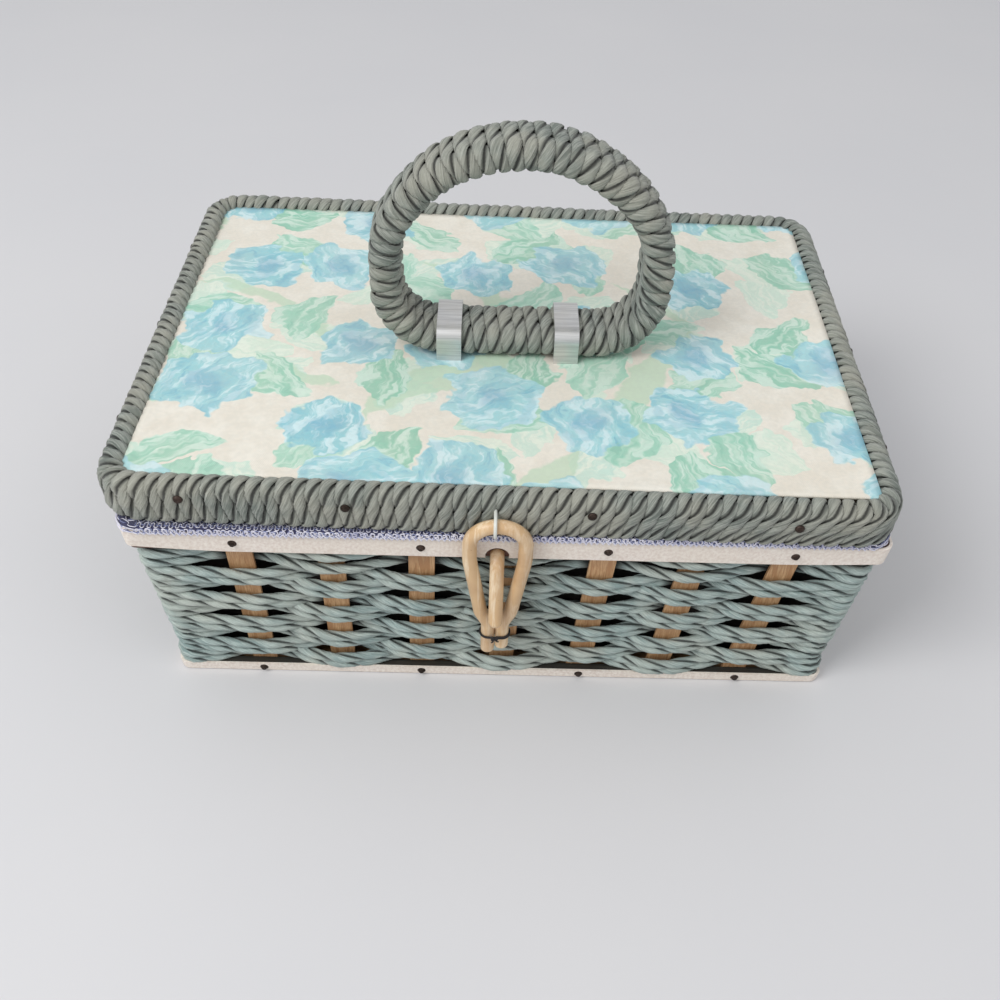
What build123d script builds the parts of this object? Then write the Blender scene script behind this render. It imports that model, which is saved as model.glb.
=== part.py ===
"""Small sewing basket: paper-cord body woven on cane stakes, wrapped lid with hoop handle, loop catch.

Millimetres. +X is the basket's right, +Y its back, +Z up. The origin is the middle of the underside.
Offsets named "out" are measured level, outwards from the middle surface of the stakes.
"""

import os
from math import atan, cos, degrees, hypot, radians, sin, tan

from build123d import *

os.makedirs("parts", exist_ok=True)

# Basket wall: a rounded rectangle that leans outwards from foot to mouth.
foot_width = 180.7
foot_depth = 129.9
wall_flare = 6.05
basket_height = 60.7
band_corner = 3.0
least_corner = 0.8
floor_clearance = 0.3

# Stakes: flat cane splints, standing in the wall.
stake_width = 7.0
stake_thickness = 1.0
stake_pitch_foot = 23.05
stake_pitch_mouth = 24.4
stake_shift_foot = -0.4
stake_shift_mouth = 2.2
stakes_per_long_side = 7
stakes_per_short_side = 5

# Weft: courses of two paper cords each.
course_count = 9
cords_per_course = 2
cord_thickness = 2.9
cord_spacing_gap = 0.14
weave_clearance = 0.25
crest_margin = 0.6
crest_radius = 6.0
corner_swing = 1.7
cord_corner = 2.2

# Base, hoops and bands.
base_thickness = 3.0
hoop_thickness = 2.4
band_thickness = 0.8
top_band_height = 7.0
bottom_band_height = 2.7
bottom_hoop_height = 2.3
fit_gap = 0.05
weave_end_gap = 2.8

# Liner and linings.
liner_thickness = 1.2
liner_gap = 0.3
lining_thickness = 1.6
braid_thickness = 2.3
braid_overhang = 0.5
rest_gap = 0.3

# Lid.
lid_width = 205.9
lid_depth = 152.5
lid_centre_x = -1.0
lid_corner = 12.0
panel_corner = 3.0
rim_thickness = 7.3
rim_height = 13.9
rim_edge_radius = 3.0
wrap_thickness = 1.6
panel_drop = 2.0
cover_thickness = 1.0
lid_board_thickness = 3.2
tab_space = 0.65

# Handle: a flat-section cane hoop, wrapped with cord and held by two metal straps.
handle_centre_x = 2.5
handle_centre_y = -6.0
handle_span = 75.0
handle_rise = 56.2
handle_flat_run = 43.0
handle_side_run = 8.5
handle_shoulder_radius = 24.0
handle_depth = 17.5
handle_section_height = 9.0
handle_edge_radius = 4.0
strap_centre_x = -0.6
strap_pitch = 33.4
strap_width = 7.0
strap_thickness = 0.6
strap_bend_radius = 3.4
strap_tab = 5.0
strap_clearance = 0.2

# Nails.
nail_head_radius = 1.2
nail_head_height = 0.7
nail_shank_radius = 0.55
nail_hole_clearance = 0.05
nail_bite = 2.2
rim_nail_bite = 4.0
front_rim_nails = (-80.0, -38.0, 22.0, 76.0)
back_rim_nails = (-80.0, -30.0, 30.0, 80.0)
side_rim_nails = (-45.0, 0.0, 45.0)

# Catch: a cane loop on the lid drops over a cane peg in the wall.
catch_x = -2.4
rod_radius = 1.9
loop_half_width = 7.2
loop_axis_rise = 5.85
loop_lean = 5.8
loop_length = 51.5
loop_tail_difference = 2.0
loop_binding_length = 1.9
throat_length = 39.8
loop_shoulder_length = 13.0
loop_waist_length = 34.8
loop_waist_half_width = 4.1
loop_clearance = 0.4
tail_gap = 0.1
peg_bend_radius = 3.5
peg_root_drop = 6.0
peg_reach = 36.2
peg_front_clearance = 0.35
notch_clearance = 0.25
hanger_radius = 0.45
hanger_clearance = 0.35
hanger_shift = -0.8
hanger_anchor = 4.6
binding_thickness = 0.5

# Hinge: two wire rings through the back of the wall and the rim.
ring_radius = 5.0
ring_wire_radius = 0.75
ring_clearance = 0.3
ring_pitch = 121.0
ring_axis_out = 5.5

# ---------------------------------------------------------------------------
# Sizes worked out from the ones above
# ---------------------------------------------------------------------------
front, right, back, left = -90.0, 0.0, 90.0, 180.0
sides = (front, right, back, left)

half_stake = stake_thickness / 2
hoop_inner_out = half_stake + fit_gap
hoop_outer_out = hoop_inner_out + hoop_thickness
band_inner_out = hoop_outer_out + fit_gap
band_outer_out = band_inner_out + band_thickness

band_bottom = basket_height - top_band_height
weave_bottom = base_thickness + cord_spacing_gap
weave_top = band_bottom - weave_end_gap
cord_pitch = (weave_top - weave_bottom) / (course_count * cords_per_course)
cord_height = cord_pitch - cord_spacing_gap
weave_amplitude = half_stake + cord_thickness / 2 + weave_clearance
weave_face_out = weave_amplitude + cord_thickness / 2

liner_out = -(weave_face_out + liner_gap)
lining_out = liner_out - liner_thickness - fit_gap
lining_face_out = lining_out - lining_thickness
braid_bottom = basket_height + fit_gap
braid_top = braid_bottom + braid_thickness

rim_bottom = braid_top + rest_gap
rim_top = rim_bottom + rim_height
panel_height = rim_top - panel_drop
cover_bottom = panel_height - cover_thickness
board_top = cover_bottom
board_bottom = board_top - lid_board_thickness
lid_lining_top = board_bottom - tab_space
lid_lining_bottom = lid_lining_top - lining_thickness
rim_front_face = lid_depth / 2
rim_nail_height = (board_bottom + board_top) / 2

lean = degrees(atan(wall_flare / basket_height))


def flare_at(height):
    """Return how far the wall has leaned out at a height."""
    return wall_flare * height / basket_height


def half_span(side, height):
    """Return the distance from the middle of the basket to one side's stakes at a height."""
    foot = foot_depth if side in (front, back) else foot_width
    return foot / 2 + flare_at(height)


def outward(side):
    """Return the level direction that points out of a side."""
    return Vector(cos(radians(side)), sin(radians(side)), 0)


def along(side):
    """Return the level direction that runs along a side, anticlockwise from above."""
    return Vector(-sin(radians(side)), cos(radians(side)), 0)


def wall_point(side, distance, height, out):
    """Return a point of the wall: so far along a side, so high, and so far out of the stakes' middle."""
    return outward(side) * (half_span(side, height) + out) + along(side) * distance + Vector(0, 0, height)


def wall_plane(side, distance, height, out):
    """Return the plane that faces squarely out of the leaning wall at a point of it."""
    facing = outward(side) * cos(radians(lean)) - Vector(0, 0, sin(radians(lean)))
    return Plane(origin=wall_point(side, distance, height, out), x_dir=along(side), z_dir=facing)


def wall_outline(height, out):
    """Return the wall's rounded rectangle at a height, moved out or in."""
    with BuildSketch(Plane.XY.offset(height)) as outline:
        RectangleRounded(
            2 * (half_span(right, height) + out),
            2 * (half_span(front, height) + out),
            max(band_corner + out - band_outer_out, least_corner),
        )
    return outline.sketch


def wall_solid(low, high, out, mode=Mode.ADD):
    """Add the solid inside the leaning wall between two heights to the part being built."""
    loft(sections=[wall_outline(low, out), wall_outline(high, out)], ruled=True, mode=mode)


def wall_ring(low, high, inner, outer):
    """Add a ring that follows the leaning wall to the part being built."""
    wall_solid(low, high, outer)
    wall_solid(low, high, inner, mode=Mode.SUBTRACT)


def stake_numbers(side):
    """Return the numbers of a side's stakes, 0 at its middle."""
    count = stakes_per_long_side if side in (front, back) else stakes_per_short_side
    return [number - (count - 1) / 2 for number in range(count)]


def stake_distance(number, height):
    """Return how far along its side a stake stands at a height; the stakes fan out and lean with the weave."""
    share = height / basket_height
    pitch = stake_pitch_foot + (stake_pitch_mouth - stake_pitch_foot) * share
    shift = stake_shift_foot + (stake_shift_mouth - stake_shift_foot) * share
    return number * pitch + shift


def nail_spots(side, height, out):
    """Return the planes of the nails that hold a band to every other stake of a side."""
    return [wall_plane(side, stake_distance(n, height), height, out) for n in stake_numbers(side)[::2]]


top_nail_height = band_bottom + top_band_height / 2
bottom_nail_height = floor_clearance + bottom_band_height / 2
top_nail_spots = [spot for side in sides for spot in nail_spots(side, top_nail_height, band_outer_out)]
bottom_nail_spots = [spot for side in sides for spot in nail_spots(side, bottom_nail_height, band_outer_out)]
top_nail_length = band_outer_out + half_stake + fit_gap + nail_bite
bottom_nail_length = band_outer_out + half_stake + fit_gap + rim_nail_bite


def rim_spots():
    """Return the planes of the nails that hold the lid's rim to its board."""
    spots = []
    for side, distances in (
        (front, front_rim_nails),
        (right, side_rim_nails),
        (back, back_rim_nails),
        (left, side_rim_nails),
    ):
        reach = (lid_depth if side in (front, back) else lid_width) / 2
        for distance in distances:
            middle = Vector(lid_centre_x, 0, rim_nail_height)
            origin = middle + outward(side) * reach + along(side) * distance
            spots.append(Plane(origin=origin, x_dir=along(side), z_dir=outward(side)))
    return spots


rim_nail_spots = rim_spots()
rim_nail_length = rim_thickness + rim_nail_bite


def drill(spots, length):
    """Cut the nails' holes, each as deep as its nail is long, out of the part being built."""
    for spot in spots:
        with Locations(spot):
            Cylinder(
                nail_shank_radius + nail_hole_clearance,
                2 * (length + nail_hole_clearance),
                mode=Mode.SUBTRACT,
            )


def drive_nails(spots, length):
    """Add nails with domed heads to the part being built."""
    for spot in spots:
        with Locations(spot):
            Cylinder(nail_shank_radius, length, align=(Align.CENTER, Align.CENTER, Align.MAX))
            Cone(
                nail_head_radius,
                nail_head_radius / 2,
                nail_head_height,
                align=(Align.CENTER, Align.CENTER, Align.MIN),
            )


# ---------------------------------------------------------------------------
# Catch and hinge lines, which the wall and the rim are cut for
# ---------------------------------------------------------------------------
loop_axis_y = -(rim_front_face + loop_clearance + rod_radius)
loop_axis_height = rim_bottom + loop_axis_rise
loop_axis = Vector(catch_x, loop_axis_y, loop_axis_height)
loop_down = Vector(0, sin(radians(loop_lean)), -cos(radians(loop_lean)))
peg_root_height = basket_height - peg_root_drop
peg_root_y = -half_span(front, peg_root_height)
peg_end_y = -half_span(front, peg_root_height + rod_radius) - liner_out - fit_gap
notch_radius = peg_root_height - band_bottom + rod_radius + notch_clearance
peg_knee_y = peg_root_y - weave_face_out - rod_radius - hanger_clearance
peg_tip_height = loop_axis_height - peg_reach
loop_y_at_tip = loop_axis_y + peg_reach * tan(radians(loop_lean))
peg_tip_y = loop_y_at_tip - 2 * rod_radius - peg_front_clearance

ring_axis_height = (basket_height + rim_bottom) / 2
ring_axis_y = half_span(back, basket_height) + ring_axis_out


def ring_planes():
    """Return the planes of the two hinge rings."""
    return [
        Plane(origin=(side * ring_pitch / 2, ring_axis_y, ring_axis_height), z_dir=(1, 0, 0))
        for side in (-1, 1)
    ]


def cut_rings():
    """Cut the channels that the hinge rings turn in out of the part being built."""
    for plane in ring_planes():
        with Locations(plane):
            Torus(ring_radius, ring_wire_radius + ring_clearance, mode=Mode.SUBTRACT)


def cut_peg_hole():
    """Cut the hole that the peg's root is plugged into out of the part being built."""
    with Locations(Plane(origin=(catch_x, peg_root_y, peg_root_height), z_dir=(0, -1, 0))):
        Cylinder(rod_radius + fit_gap, 4 * band_outer_out, mode=Mode.SUBTRACT)


# ---------------------------------------------------------------------------
# Base and wall
# ---------------------------------------------------------------------------
with BuildPart() as base_board:
    wall_solid(0, base_thickness, -hoop_inner_out)
    drill(bottom_nail_spots, bottom_nail_length)
base_board.part.label = "base_board"
export_step(base_board.part, "parts/base_board.step")


def stake_section(side, number, height):
    """Return a stake's flat section at a height."""
    origin = wall_point(side, stake_distance(number, height), height, 0)
    with BuildSketch(Plane(origin=origin, x_dir=along(side), z_dir=(0, 0, 1))) as section:
        Rectangle(stake_width, stake_thickness)
    return section.sketch


stake_top = basket_height - floor_clearance
for side, side_name in ((front, "front"), (right, "right"), (back, "back"), (left, "left")):
    with BuildPart() as stakes:
        for number in stake_numbers(side):
            sections = [stake_section(side, number, height) for height in (floor_clearance, stake_top)]
            loft(sections=sections, ruled=True)
        drill(nail_spots(side, top_nail_height, band_outer_out), top_nail_length)
        drill(nail_spots(side, bottom_nail_height, band_outer_out), bottom_nail_length)
        if side == front:
            cut_peg_hole()
    stakes.part.label = "stakes_" + side_name
    export_step(stakes.part, "parts/stakes_" + side_name + ".step")


def cord_outline(height, first):
    """Return the plan area that one weft cord covers; first is 1 or -1, its side of the first stake."""
    points = []
    radii = []
    swing = first
    for side, next_side in zip(sides, sides[1:] + sides[:1]):
        for number in stake_numbers(side):
            middle = stake_distance(number, height)
            for edge in (-1, 1):
                crest = middle + edge * (stake_width / 2 + crest_margin)
                points.append(wall_point(side, crest, height, swing * weave_amplitude))
                radii.append(crest_radius)
            swing = -swing
        corner = outward(side) * (half_span(side, height) + corner_swing)
        next_corner = outward(next_side) * (half_span(next_side, height) + corner_swing)
        points.append(corner + next_corner + Vector(0, 0, height))
        radii.append(cord_corner)
    flat_points = [(point.X, point.Y) for point in points]
    with BuildSketch(Plane.XY.offset(height - cord_height / 2)) as outline:
        with BuildLine():
            FilletPolyline(*flat_points, radius=radii, close=True)
        make_face()
        offset(amount=cord_thickness / 2)
        offset(amount=-cord_thickness, mode=Mode.SUBTRACT)
    return outline.sketch


for course in range(course_count):
    with BuildPart() as weave_course:
        for cord in range(cords_per_course):
            rank = course * cords_per_course + cord
            cord_middle = weave_top - (rank + 1 / 2) * cord_pitch
            extrude(cord_outline(cord_middle, -1 if course % 2 == 0 else 1), amount=cord_height)
    weave_course.part.label = "weave_course_" + str(course + 1)
    export_step(weave_course.part, "parts/weave_course_" + str(course + 1) + ".step")

# ---------------------------------------------------------------------------
# Hoops and bands at the mouth and the foot
# ---------------------------------------------------------------------------
hoop_bottom = band_bottom + fit_gap
with BuildPart() as outer_hoop:
    wall_ring(hoop_bottom, stake_top, hoop_inner_out, hoop_outer_out)
    drill(top_nail_spots, top_nail_length)
    cut_rings()
    cut_peg_hole()
outer_hoop.part.label = "outer_hoop"
export_step(outer_hoop.part, "parts/outer_hoop.step")

with BuildPart() as inner_hoop:
    wall_ring(hoop_bottom, stake_top, liner_out + fit_gap, -hoop_inner_out)
    drill(top_nail_spots, top_nail_length)
    cut_rings()
    cut_peg_hole()
inner_hoop.part.label = "inner_hoop"
export_step(inner_hoop.part, "parts/inner_hoop.step")

with BuildPart() as top_band:
    wall_ring(band_bottom, basket_height, band_inner_out, band_outer_out)
    drill(top_nail_spots, top_nail_length)
    cut_rings()
    with Locations(Plane(origin=(catch_x, peg_root_y, band_bottom), z_dir=(0, -1, 0))):
        Cylinder(notch_radius, 4 * band_outer_out, mode=Mode.SUBTRACT)
top_band.part.label = "top_band"
export_step(top_band.part, "parts/top_band.step")

with BuildPart() as bottom_hoop:
    wall_ring(floor_clearance, floor_clearance + bottom_hoop_height, hoop_inner_out, hoop_outer_out)
    drill(bottom_nail_spots, bottom_nail_length)
bottom_hoop.part.label = "bottom_hoop"
export_step(bottom_hoop.part, "parts/bottom_hoop.step")

with BuildPart() as bottom_band:
    wall_ring(floor_clearance, floor_clearance + bottom_band_height, band_inner_out, band_outer_out)
    drill(bottom_nail_spots, bottom_nail_length)
bottom_band.part.label = "bottom_band"
export_step(bottom_band.part, "parts/bottom_band.step")

with BuildPart() as top_band_nails:
    drive_nails(top_nail_spots, top_nail_length)
top_band_nails.part.label = "top_band_nails"
export_step(top_band_nails.part, "parts/top_band_nails.step")

with BuildPart() as bottom_band_nails:
    drive_nails(bottom_nail_spots, bottom_nail_length)
bottom_band_nails.part.label = "bottom_band_nails"
export_step(bottom_band_nails.part, "parts/bottom_band_nails.step")

# ---------------------------------------------------------------------------
# Liner, linings and the braid over the mouth
# ---------------------------------------------------------------------------
liner_bottom = base_thickness + fit_gap
with BuildPart() as wall_liner:
    wall_ring(liner_bottom, stake_top, liner_out - liner_thickness, liner_out)
wall_liner.part.label = "wall_liner"
export_step(wall_liner.part, "parts/wall_liner.step")

with BuildPart() as wall_lining:
    wall_ring(liner_bottom, stake_top, lining_face_out, lining_out)
wall_lining.part.label = "wall_lining"
export_step(wall_lining.part, "parts/wall_lining.step")

with BuildPart() as floor_pad:
    wall_solid(liner_bottom, liner_bottom + lining_thickness, lining_face_out - fit_gap)
floor_pad.part.label = "floor_pad"
export_step(floor_pad.part, "parts/floor_pad.step")

with BuildPart() as mouth_braid:
    wall_ring(braid_bottom, braid_top, lining_out, band_outer_out + braid_overhang)
    cut_rings()
mouth_braid.part.label = "mouth_braid"
export_step(mouth_braid.part, "parts/mouth_braid.step")


# ---------------------------------------------------------------------------
# Lid
# ---------------------------------------------------------------------------
def lid_ring(low, high, inset, width, edge_radius):
    """Return a closed ring of rounded section that follows the lid's outline."""
    middle = (low + high) / 2
    with BuildPart() as ring:
        with BuildSketch(Plane.XY.offset(low)), Locations((lid_centre_x, 0)):
            RectangleRounded(lid_width - 2 * inset, lid_depth - 2 * inset, lid_corner - inset)
            inner = inset + width
            RectangleRounded(
                lid_width - 2 * inner,
                lid_depth - 2 * inner,
                panel_corner + rim_thickness - inner,
                mode=Mode.SUBTRACT,
            )
        extrude(amount=high - low)
        level_edges = ring.edges().filter_by(lambda edge: abs(edge.center().Z - middle) > (high - low) / 3)
        fillet(level_edges, edge_radius)
    return ring.part


rim_core = lid_ring(
    rim_bottom + wrap_thickness,
    rim_top - wrap_thickness,
    wrap_thickness,
    rim_thickness - 2 * wrap_thickness,
    rim_edge_radius - wrap_thickness,
)
rim_sleeve = lid_ring(rim_bottom, rim_top, 0, rim_thickness, rim_edge_radius)
hanger_y = (loop_axis_y, -rim_front_face + hanger_anchor)
hanger_turn = rod_radius + hanger_clearance + hanger_radius


def hanger_tube(radius):
    """Return the cord hanger: out of the rim, round the loop's rod and back into the rim."""
    with BuildPart() as tube:
        with BuildLine(Plane.YZ.offset(catch_x + hanger_shift)) as path:
            upper = Line(
                (hanger_y[1], loop_axis_height + hanger_turn),
                (hanger_y[0], loop_axis_height + hanger_turn),
            )
            lower = ThreePointArc(
                upper @ 1,
                (hanger_y[0] - hanger_turn, loop_axis_height),
                (hanger_y[0], loop_axis_height - hanger_turn),
            )
            Line(lower @ 1, (hanger_y[1], loop_axis_height - hanger_turn))
        with BuildSketch(Plane(origin=path.line @ 0, z_dir=path.line % 0)):
            Circle(radius)
        sweep(path=path.line)
    return tube.part


with BuildPart() as lid_rim_hoop:
    add(rim_core)
    drill(rim_nail_spots, rim_nail_length)
    cut_rings()
    add(hanger_tube(hanger_radius + fit_gap), mode=Mode.SUBTRACT)
lid_rim_hoop.part.label = "lid_rim_hoop"
export_step(lid_rim_hoop.part, "parts/lid_rim_hoop.step")

with BuildPart() as rim_wrap:
    add(rim_sleeve)
    add(rim_core, mode=Mode.SUBTRACT)
    drill(rim_nail_spots, rim_nail_length)
    cut_rings()
    add(hanger_tube(hanger_radius + fit_gap), mode=Mode.SUBTRACT)
rim_wrap.part.label = "rim_wrap"
export_step(rim_wrap.part, "parts/rim_wrap.step")

with BuildPart() as rim_nails:
    drive_nails(rim_nail_spots, rim_nail_length)
rim_nails.part.label = "rim_nails"
export_step(rim_nails.part, "parts/rim_nails.step")

panel_inset = rim_thickness + fit_gap
strap_half = handle_depth / 2 + strap_clearance + strap_thickness / 2
slot_width = strap_width + 2 * strap_clearance
slot_depth = strap_thickness + 2 * strap_clearance
strap_places = [strap_centre_x + side * strap_pitch / 2 for side in (-1, 1)]


def panel_slab(low, high):
    """Add a sheet that fills the lid's rim to the part being built."""
    with BuildSketch(Plane.XY.offset(low)) as outline, Locations((lid_centre_x, 0)):
        RectangleRounded(
            lid_width - 2 * panel_inset,
            lid_depth - 2 * panel_inset,
            panel_corner - fit_gap,
        )
    extrude(outline.sketch, amount=high - low)


def cut_strap_slots(low, high):
    """Cut the four slots that the straps' legs pass through out of the part being built."""
    for place in strap_places:
        for side in (-1, 1):
            with Locations((place, handle_centre_y + side * strap_half, (low + high) / 2)):
                Box(slot_width, slot_depth, 2 * (high - low), mode=Mode.SUBTRACT)


with BuildPart() as lid_board:
    panel_slab(board_bottom, board_top)
    cut_strap_slots(board_bottom, board_top)
    drill(rim_nail_spots, rim_nail_length)
lid_board.part.label = "lid_board"
export_step(lid_board.part, "parts/lid_board.step")

with BuildPart() as lid_cover:
    panel_slab(cover_bottom, panel_height)
    cut_strap_slots(cover_bottom, panel_height)
lid_cover.part.label = "lid_cover"
export_step(lid_cover.part, "parts/lid_cover.step")

with BuildPart() as lid_lining:
    panel_slab(lid_lining_bottom, lid_lining_top)
lid_lining.part.label = "lid_lining"
export_step(lid_lining.part, "parts/lid_lining.step")

# ---------------------------------------------------------------------------
# Handle
# ---------------------------------------------------------------------------
handle_base_height = panel_height + fit_gap + handle_section_height / 2
handle_half = handle_span / 2
handle_flat_half = handle_flat_run / 2
handle_low_radius = handle_half - handle_flat_half
handle_crown = handle_rise - handle_low_radius - handle_side_run
shoulder_inset = handle_half - handle_shoulder_radius
crown_radius = (shoulder_inset**2 + handle_crown**2 - handle_shoulder_radius**2) / (
    2 * (handle_crown - handle_shoulder_radius)
)
crown_drop = crown_radius - handle_crown
tangent_share = crown_radius / hypot(shoulder_inset, crown_drop)
handle_plane = Plane(
    origin=(handle_centre_x, handle_centre_y, handle_base_height),
    x_dir=(1, 0, 0),
    z_dir=(0, -1, 0),
)


def handle_solid(depth, section_height, edge_radius):
    """Return a closed hoop of flat section along the handle's oval, made as a half and its mirror image."""
    spring_height = handle_low_radius + handle_side_run
    low_middle = handle_low_radius * (1 - cos(radians(45)))
    shoulder = (
        shoulder_inset * tangent_share,
        spring_height - crown_drop + crown_drop * tangent_share,
    )
    shoulder_angle = atan(crown_drop / shoulder_inset) / 2
    shoulder_middle = (
        shoulder_inset + handle_shoulder_radius * cos(shoulder_angle),
        spring_height + handle_shoulder_radius * sin(shoulder_angle),
    )
    crown_angle = atan(shoulder_inset / crown_drop) / 2
    crown_middle = (
        crown_radius * sin(crown_angle),
        spring_height - crown_drop + crown_radius * cos(crown_angle),
    )
    with BuildPart() as hoop:
        with BuildLine(handle_plane) as path:
            Line((0, 0), (handle_flat_half, 0))
            ThreePointArc(
                (handle_flat_half, 0),
                (handle_half - low_middle, low_middle),
                (handle_half, handle_low_radius),
            )
            Line((handle_half, handle_low_radius), (handle_half, spring_height))
            ThreePointArc((handle_half, spring_height), shoulder_middle, shoulder)
            ThreePointArc(shoulder, crown_middle, (0, handle_rise))
        with BuildSketch(Plane(origin=handle_plane.origin, x_dir=(0, 1, 0), z_dir=(1, 0, 0))):
            RectangleRounded(depth, section_height, edge_radius)
        sweep(path=path.line)
        mirror(about=Plane.YZ.offset(handle_centre_x))
    return hoop.part


handle_core_solid = handle_solid(
    handle_depth - 2 * wrap_thickness,
    handle_section_height - 2 * wrap_thickness,
    handle_edge_radius - wrap_thickness,
)
with BuildPart() as handle_core:
    add(handle_core_solid)
handle_core.part.label = "handle_core"
export_step(handle_core.part, "parts/handle_core.step")

with BuildPart() as handle_wrap:
    add(handle_solid(handle_depth, handle_section_height, handle_edge_radius))
    add(handle_core_solid, mode=Mode.SUBTRACT)
handle_wrap.part.label = "handle_wrap"
export_step(handle_wrap.part, "parts/handle_wrap.step")

strap_top = handle_base_height + handle_section_height / 2 + strap_clearance + strap_thickness / 2
strap_tab_height = board_bottom - fit_gap - strap_thickness / 2
for place, side_name in zip(strap_places, ("left", "right")):
    with BuildPart() as strap:
        with BuildSketch(Plane.YZ.offset(place - strap_width / 2)):
            with BuildLine():
                FilletPolyline(
                    (handle_centre_y - strap_half - strap_tab, strap_tab_height),
                    (handle_centre_y - strap_half, strap_tab_height),
                    (handle_centre_y - strap_half, strap_top),
                    (handle_centre_y + strap_half, strap_top),
                    (handle_centre_y + strap_half, strap_tab_height),
                    (handle_centre_y + strap_half + strap_tab, strap_tab_height),
                    radius=[strap_thickness, strap_bend_radius, strap_bend_radius, strap_thickness],
                )
            trace(line_width=strap_thickness)
        extrude(amount=strap_width)
    strap.part.label = "handle_strap_" + side_name
    export_step(strap.part, "parts/handle_strap_" + side_name + ".step")

# ---------------------------------------------------------------------------
# Catch: hanger, loop, binding and peg
# ---------------------------------------------------------------------------
with BuildPart() as toggle_hanger:
    add(hanger_tube(hanger_radius))
toggle_hanger.part.label = "toggle_hanger"
export_step(toggle_hanger.part, "parts/toggle_hanger.step")

loop_plane = Plane(origin=loop_axis, x_dir=(1, 0, 0), z_dir=Vector(1, 0, 0).cross(loop_down * -1))
tail_half_width = rod_radius + tail_gap / 2


def loop_arm(side, length):
    """Return the centre line's points of one arm, from the top of the loop to the arm's cut end."""
    return [
        (0, 0),
        (side * loop_half_width, 0),
        (side * loop_half_width, -loop_shoulder_length),
        (side * loop_waist_half_width, -loop_waist_length),
        (side * tail_half_width, -throat_length),
        (side * tail_half_width, -length),
    ]


with BuildPart() as toggle_loop:
    for side, length in ((-1, loop_length), (1, loop_length - loop_tail_difference)):
        with BuildLine(loop_plane) as arm:
            FilletPolyline(
                *loop_arm(side, length),
                radius=[loop_half_width - fit_gap, 3 * loop_half_width, 2 * rod_radius, rod_radius],
            )
        with BuildSketch(Plane(origin=arm.line @ 0, z_dir=arm.line % 0)):
            Circle(rod_radius)
        sweep(path=arm.line)
toggle_loop.part.label = "toggle_loop"
export_step(toggle_loop.part, "parts/toggle_loop.step")

with BuildPart() as toggle_binding:
    binding_plane = Plane(
        origin=loop_axis + loop_down * (throat_length + 2 * rod_radius),
        x_dir=(1, 0, 0),
        z_dir=loop_down,
    )
    with BuildSketch(binding_plane):
        SlotCenterToCenter(2 * tail_half_width, 2 * (rod_radius + fit_gap + binding_thickness))
        SlotCenterToCenter(2 * tail_half_width, 2 * (rod_radius + fit_gap), mode=Mode.SUBTRACT)
    extrude(amount=loop_binding_length)
toggle_binding.part.label = "toggle_binding"
export_step(toggle_binding.part, "parts/toggle_binding.step")

with BuildPart() as catch_peg:
    with BuildLine(Plane.YZ.offset(catch_x)) as peg_path:
        FilletPolyline(
            (peg_end_y, peg_root_height),
            (peg_knee_y, peg_root_height),
            (peg_tip_y, peg_tip_height + rod_radius),
            radius=peg_bend_radius,
        )
    with BuildSketch(Plane(origin=peg_path.line @ 0, z_dir=peg_path.line % 0)):
        Circle(rod_radius)
    sweep(path=peg_path.line)
    with Locations(peg_path.line @ 1):
        Sphere(rod_radius)
catch_peg.part.label = "catch_peg"
export_step(catch_peg.part, "parts/catch_peg.step")

# ---------------------------------------------------------------------------
# Hinge rings
# ---------------------------------------------------------------------------
for plane, side_name in zip(ring_planes(), ("left", "right")):
    with BuildPart() as hinge_ring:
        with Locations(plane):
            Torus(ring_radius, ring_wire_radius)
    hinge_ring.part.label = "hinge_ring_" + side_name
    export_step(hinge_ring.part, "parts/hinge_ring_" + side_name + ".step")
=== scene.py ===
# %% [markdown]
# # A woven sewing basket with a hinged lid
#
# This lesson dresses a small sewing basket. Its body is twisted paper cord woven round flat cane stakes, and its
# lid is a printed panel in a rim that is wound with the same cord. A wound hoop handle is strapped to the lid, and
# a cane loop on the front drops over a cane peg. The solid model comes first and is only loaded here: it says where
# everything is and how the lid and the loop move. Each cell then adds one piece or one finish.

# %% Load the solid model
import math

import bpy
import numpy as np
from mathutils import Matrix, Vector


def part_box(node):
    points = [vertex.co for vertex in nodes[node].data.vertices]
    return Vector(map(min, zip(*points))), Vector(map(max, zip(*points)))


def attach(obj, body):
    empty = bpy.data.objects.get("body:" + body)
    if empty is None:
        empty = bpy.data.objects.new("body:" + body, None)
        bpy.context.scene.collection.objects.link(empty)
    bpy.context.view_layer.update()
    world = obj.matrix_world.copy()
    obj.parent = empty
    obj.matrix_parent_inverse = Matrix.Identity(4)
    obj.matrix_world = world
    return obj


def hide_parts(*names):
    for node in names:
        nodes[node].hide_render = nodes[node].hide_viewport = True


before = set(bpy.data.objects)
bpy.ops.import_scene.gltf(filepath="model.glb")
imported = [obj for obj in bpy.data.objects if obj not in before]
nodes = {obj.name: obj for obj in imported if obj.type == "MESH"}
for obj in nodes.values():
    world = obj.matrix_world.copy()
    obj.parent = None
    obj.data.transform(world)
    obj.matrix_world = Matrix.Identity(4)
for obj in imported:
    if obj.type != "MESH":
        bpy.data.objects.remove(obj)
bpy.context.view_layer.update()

scene = bpy.context.scene
MM = 0.001

# %% [markdown]
# ## Helpers for modelling
#
# Blender's operators act on everything that is selected, and loading the model leaves all of it selected. So each
# new primitive starts from an empty selection. A mesh's points are read into an array, moved and put back. A
# finished piece gets its name, its material and the body that it moves with in one call, which also hides the nodes
# that it stands for, so that none of these is forgotten.


# %% Modelling helpers
def deselect_all():
    """Leave edit mode and select nothing."""
    if bpy.context.object and bpy.context.object.mode != "OBJECT":
        bpy.ops.object.mode_set(mode="OBJECT")
    bpy.ops.object.select_all(action="DESELECT")


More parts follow.
